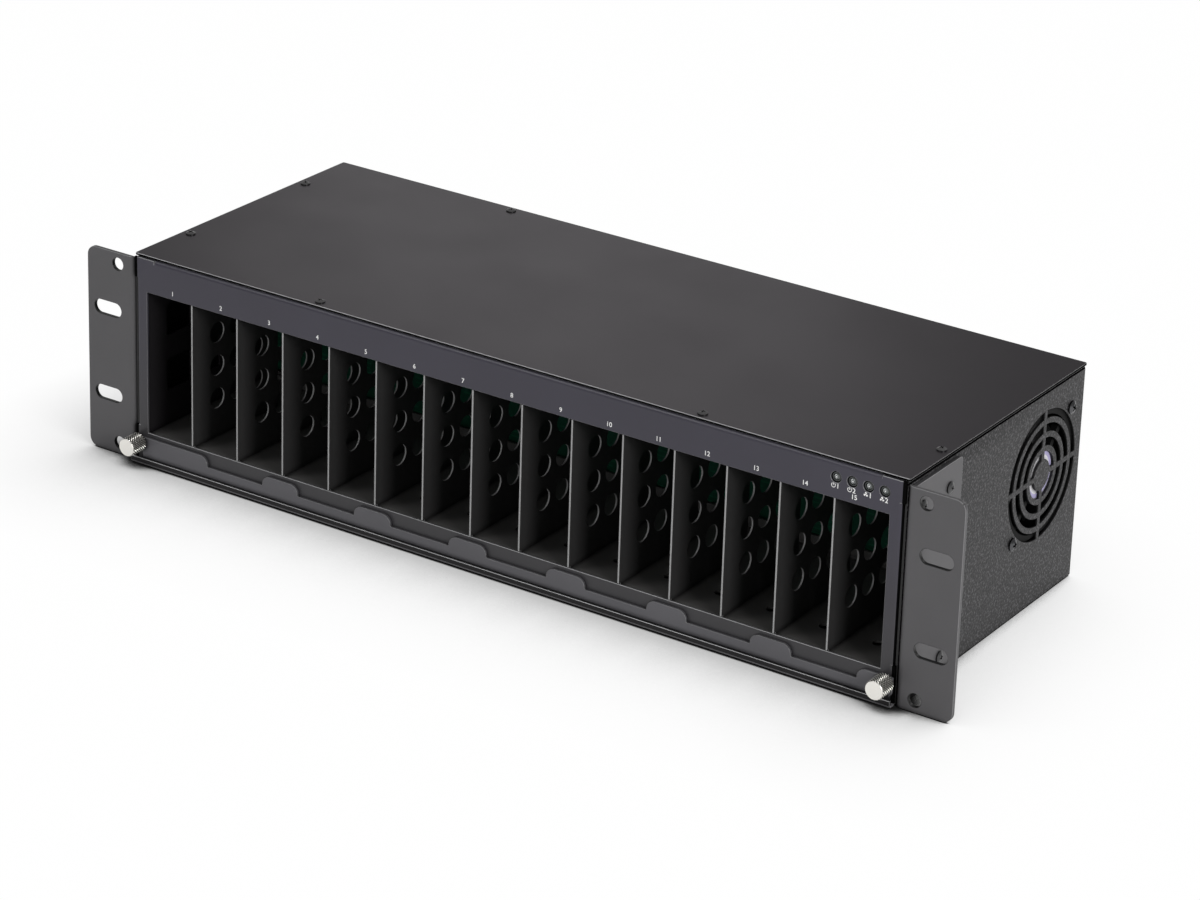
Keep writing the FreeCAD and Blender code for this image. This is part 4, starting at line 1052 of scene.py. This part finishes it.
def numeral(words, height, x, z):
    """Prints a short text of a given height, centred at x and z."""
    curve = bpy.data.curves.new("numeral", "FONT")
    curve.body = words
    curve.extrude = INK / 2
    curve.offset = NUMERAL_WEIGHT
    text = new_object("numeral", curve)
    graph = bpy.context.evaluated_depsgraph_get()
    flat = bpy.data.meshes.new_from_object(text.evaluated_get(graph))
    bpy.data.objects.remove(text)
    corners = [vertex.co for vertex in flat.vertices]
    low = Vector(map(min, *corners))
    high = Vector(map(max, *corners))
    scale = height / (high.y - low.y)
    centre = (low + high) / 2
    flat.transform(Matrix.Diagonal((scale, scale, 1, 1)) @ Matrix.Translation((-centre.x, -centre.y, 0)))
    lay_ink(flat, x, z)


def slab(points, x, z):
    """A flat outline with the ink's thickness."""
    shape = bmesh.new()
    ring = [shape.verts.new((u, v, -INK / 2)) for u, v in points]
    face = shape.faces.new(ring)
    raised = bmesh.ops.extrude_face_region(shape, geom=[face])["geom"]
    top = [item for item in raised if isinstance(item, bmesh.types.BMVert)]
    bmesh.ops.translate(shape, verts=top, vec=(0, 0, INK))
    bmesh.ops.recalc_face_normals(shape, faces=shape.faces)
    flat = bpy.data.meshes.new("sign")
    shape.to_mesh(flat)
    shape.free()
    lay_ink(flat, x, z)


print("panel face at y =", round(panel_face, 5))

# %% Numerals
BAYS = 15
NUMERAL_HEIGHT = 2.3 * MM
NUMERAL_LEVEL = 92.0 * MM
NUMERAL_MIDDLE = 8.0 * MM
NUMERAL_PITCH = 26.87 * MM
NUMERAL_CROWDING = 0.18 * MM
for bay in range(BAYS):
    step = bay - BAYS // 2
    place = NUMERAL_MIDDLE + NUMERAL_PITCH * step - NUMERAL_CROWDING * step ** 2
    numeral(str(bay + 1), NUMERAL_HEIGHT, place, NUMERAL_LEVEL)
print("numerals:", BAYS)

# %% Lamp signs
SIGN_RADIUS = 1.15 * MM
SIGN_STROKE = 0.32 * MM
SIGN_LEVEL = 94.9 * MM
SIGN_SHIFT = 1.1 * MM
# Arcs and turns are in degrees.
POWER_ARC = (125, 415)
BLADE_TURNS = (90, 210, 330)
BLADE_ARC = (-110, 70)
ARC_STEPS = 20
BLADE_STEPS = 10
BLADE_REACH = SIGN_RADIUS * 0.55
BLADE_ROUND = SIGN_RADIUS * 0.45


def arc(radius, start, end, steps=ARC_STEPS):
    angles = [math.radians(start + (end - start) * step / steps) for step in range(steps + 1)]
    return [(radius * math.cos(angle), radius * math.sin(angle)) for angle in angles]


def power_sign(x, z):
    """An open ring with a stroke in its gap."""
    slab(arc(SIGN_RADIUS, *POWER_ARC) + arc(SIGN_RADIUS - SIGN_STROKE, *reversed(POWER_ARC)), x, z)
    half = SIGN_STROKE / 2
    slab([(-half, 0), (half, 0), (half, SIGN_RADIUS), (-half, SIGN_RADIUS)], x, z)


def fan_sign(x, z):
    """Three rounded blades about a point."""
    blade = [(0.0, 0.0)] + [(BLADE_REACH + u, v) for u, v in arc(BLADE_ROUND, *BLADE_ARC, BLADE_STEPS)]
    for turn in BLADE_TURNS:
        spun = Matrix.Rotation(math.radians(turn), 2)
        slab([tuple(spun @ Vector(point)) for point in blade], x, z)


lamps = solid_boxes("status_lamps")
for index, (low, high) in enumerate(lamps):
    x = (low.x + high.x) / 2
    sign = power_sign if index < len(lamps) // 2 else fan_sign
    sign(x - SIGN_SHIFT, SIGN_LEVEL)
    numeral(str(index % 2 + 1), 2 * SIGN_RADIUS, x + SIGN_SHIFT, SIGN_LEVEL)

ink_mesh = bpy.data.meshes.new("panel_print")
ink.to_mesh(ink_mesh)
ink.free()
ink_mesh.materials.append(finishes["white_plastic"])
panel_print = new_object("panel_print", ink_mesh)
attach(panel_print, "chassis")
print("printed faces:", len(ink_mesh.polygons))

# %% [markdown]
# ## Lamps
# Each status lamp is a shallow clear lens in a dark collar that nearly fills its hole, with a narrow groove
# between the two. Round pieces like this are drawn as half of their section and spun about the axis, as on a
# lathe: one profile gives the lens, the groove, the collar and the body behind it.

# %% The lathe
TURNED_SIDES = 64


def turn_profile(shape, profile, centre, axis, across):
    """Adds a closed piece: a profile of (radius, rise) points, spun about an axis through centre."""
    corners = [shape.verts.new(centre + axis * rise + across * radius) for radius, rise in profile]
    strip = [shape.edges.new(pair) for pair in zip(corners, corners[1:])]
    bmesh.ops.spin(shape, geom=corners + strip, cent=centre, axis=axis, angle=2 * math.pi, steps=TURNED_SIDES,
                   use_merge=True)


def turned_mesh(shape, name, finish):
    bmesh.ops.remove_doubles(shape, verts=shape.verts, dist=WELD)
    bmesh.ops.recalc_face_normals(shape, faces=shape.faces)
    mesh = bpy.data.meshes.new(name)
    shape.to_mesh(mesh)
    shape.free()
    mesh.materials.append(finish)
    mesh.shade_smooth()
    mesh.set_sharp_from_angle(angle=CREASE)
    return mesh


print("turned sides:", TURNED_SIDES)

# %% Status lamps
LENS_RISE = 0.5 * MM
LENS_STEPS = 8
GROOVE_WIDTH = 0.3 * MM
GROOVE_DEPTH = 1.2 * MM
COLLAR_DEPTH = 0.3 * MM
COLLAR_GAP = 0.3 * MM
COLLAR_ROUND = 0.1 * MM
shape = bmesh.new()
for low, high in lamps:
    radius = (high.x - low.x) / 2 - COLLAR_GAP
    length = high.y - low.y
    shares = [step / LENS_STEPS for step in range(LENS_STEPS + 1)]
    profile = [(LENS_RADIUS * share, LENS_RISE * share ** 2) for share in shares]
    profile += [(LENS_RADIUS, GROOVE_DEPTH), (LENS_RADIUS + GROOVE_WIDTH, GROOVE_DEPTH),
                (LENS_RADIUS + GROOVE_WIDTH, COLLAR_DEPTH), (radius - COLLAR_ROUND, COLLAR_DEPTH),
                (radius, COLLAR_DEPTH + COLLAR_ROUND), (radius, length), (0, length)]
    front = Vector(((low.x + high.x) / 2, low.y, (low.z + high.z) / 2))
    turn_profile(shape, profile, front, Vector((0, 1, 0)), Vector((1, 0, 0)))
mesh = turned_mesh(shape, "status_lamps_collared", lamp_lens)
collared = new_object("status_lamps_collared", mesh)
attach(collared, "chassis")
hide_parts("status_lamps")
print("status lamps:", len(lamps))

# %% [markdown]
# ## Labels on the fans
# The hub plate of each fan carries a round paper label, and through the grille it is the brightest thing
# on the wall. It is a thin disc with a rounded rim, turned like the lamps. A pale violet ring printed on it
# comes from a mask on the distance to the label's middle.

# %% Fan labels
FAN_PLATE_FACE = 210.7 * MM
LABEL_RADIUS = 12.4 * MM
LABEL_THICKNESS = 0.3 * MM
LABEL_RIM = 0.15 * MM
LABEL_RING = (9.3 * MM, 11.2 * MM)
RING_VIOLET = (0.42, 0.39, 0.6)
PAPER_RECIPE = {"colour": (0.8, 0.79, 0.82), "roughness": 0.45, "grain": 0.4 * MM, "depth": 0.003 * MM,
                "drift": 0.04}


def label_paper(name, centre):
    """White paper with a violet ring about centre."""
    finish = coating(name, **PAPER_RECIPE)
    tree = finish.node_tree
    ends = {0: object_place(tree), 1: centre}
    offset = add(tree, "ShaderNodeVectorMath", ends, operation="DISTANCE").outputs["Value"]
    recolour(finish, within(tree, offset, *LABEL_RING), RING_VIOLET)
    return finish


for side, outward in (("left", -1), ("right", 1)):
    low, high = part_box("fan_rotor_" + side)
    plate = FAN_PLATE_FACE * outward
    centre = Vector((plate, (low.y + high.y) / 2, (low.z + high.z) / 2))
    profile = [(0, 0), (LABEL_RADIUS, 0), (LABEL_RADIUS, LABEL_THICKNESS - LABEL_RIM),
               (LABEL_RADIUS - LABEL_RIM, LABEL_THICKNESS), (0, LABEL_THICKNESS)]
    shape = bmesh.new()
    turn_profile(shape, profile, centre, Vector((outward, 0, 0)), Vector((0, 1, 0)))
    mesh = turned_mesh(shape, "fan_label_" + side, label_paper("label_paper_" + side, centre))
    label = new_object("fan_label_" + side, mesh)
    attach(label, "chassis")
print("label radius in mm:", round(LABEL_RADIUS / MM, 1))
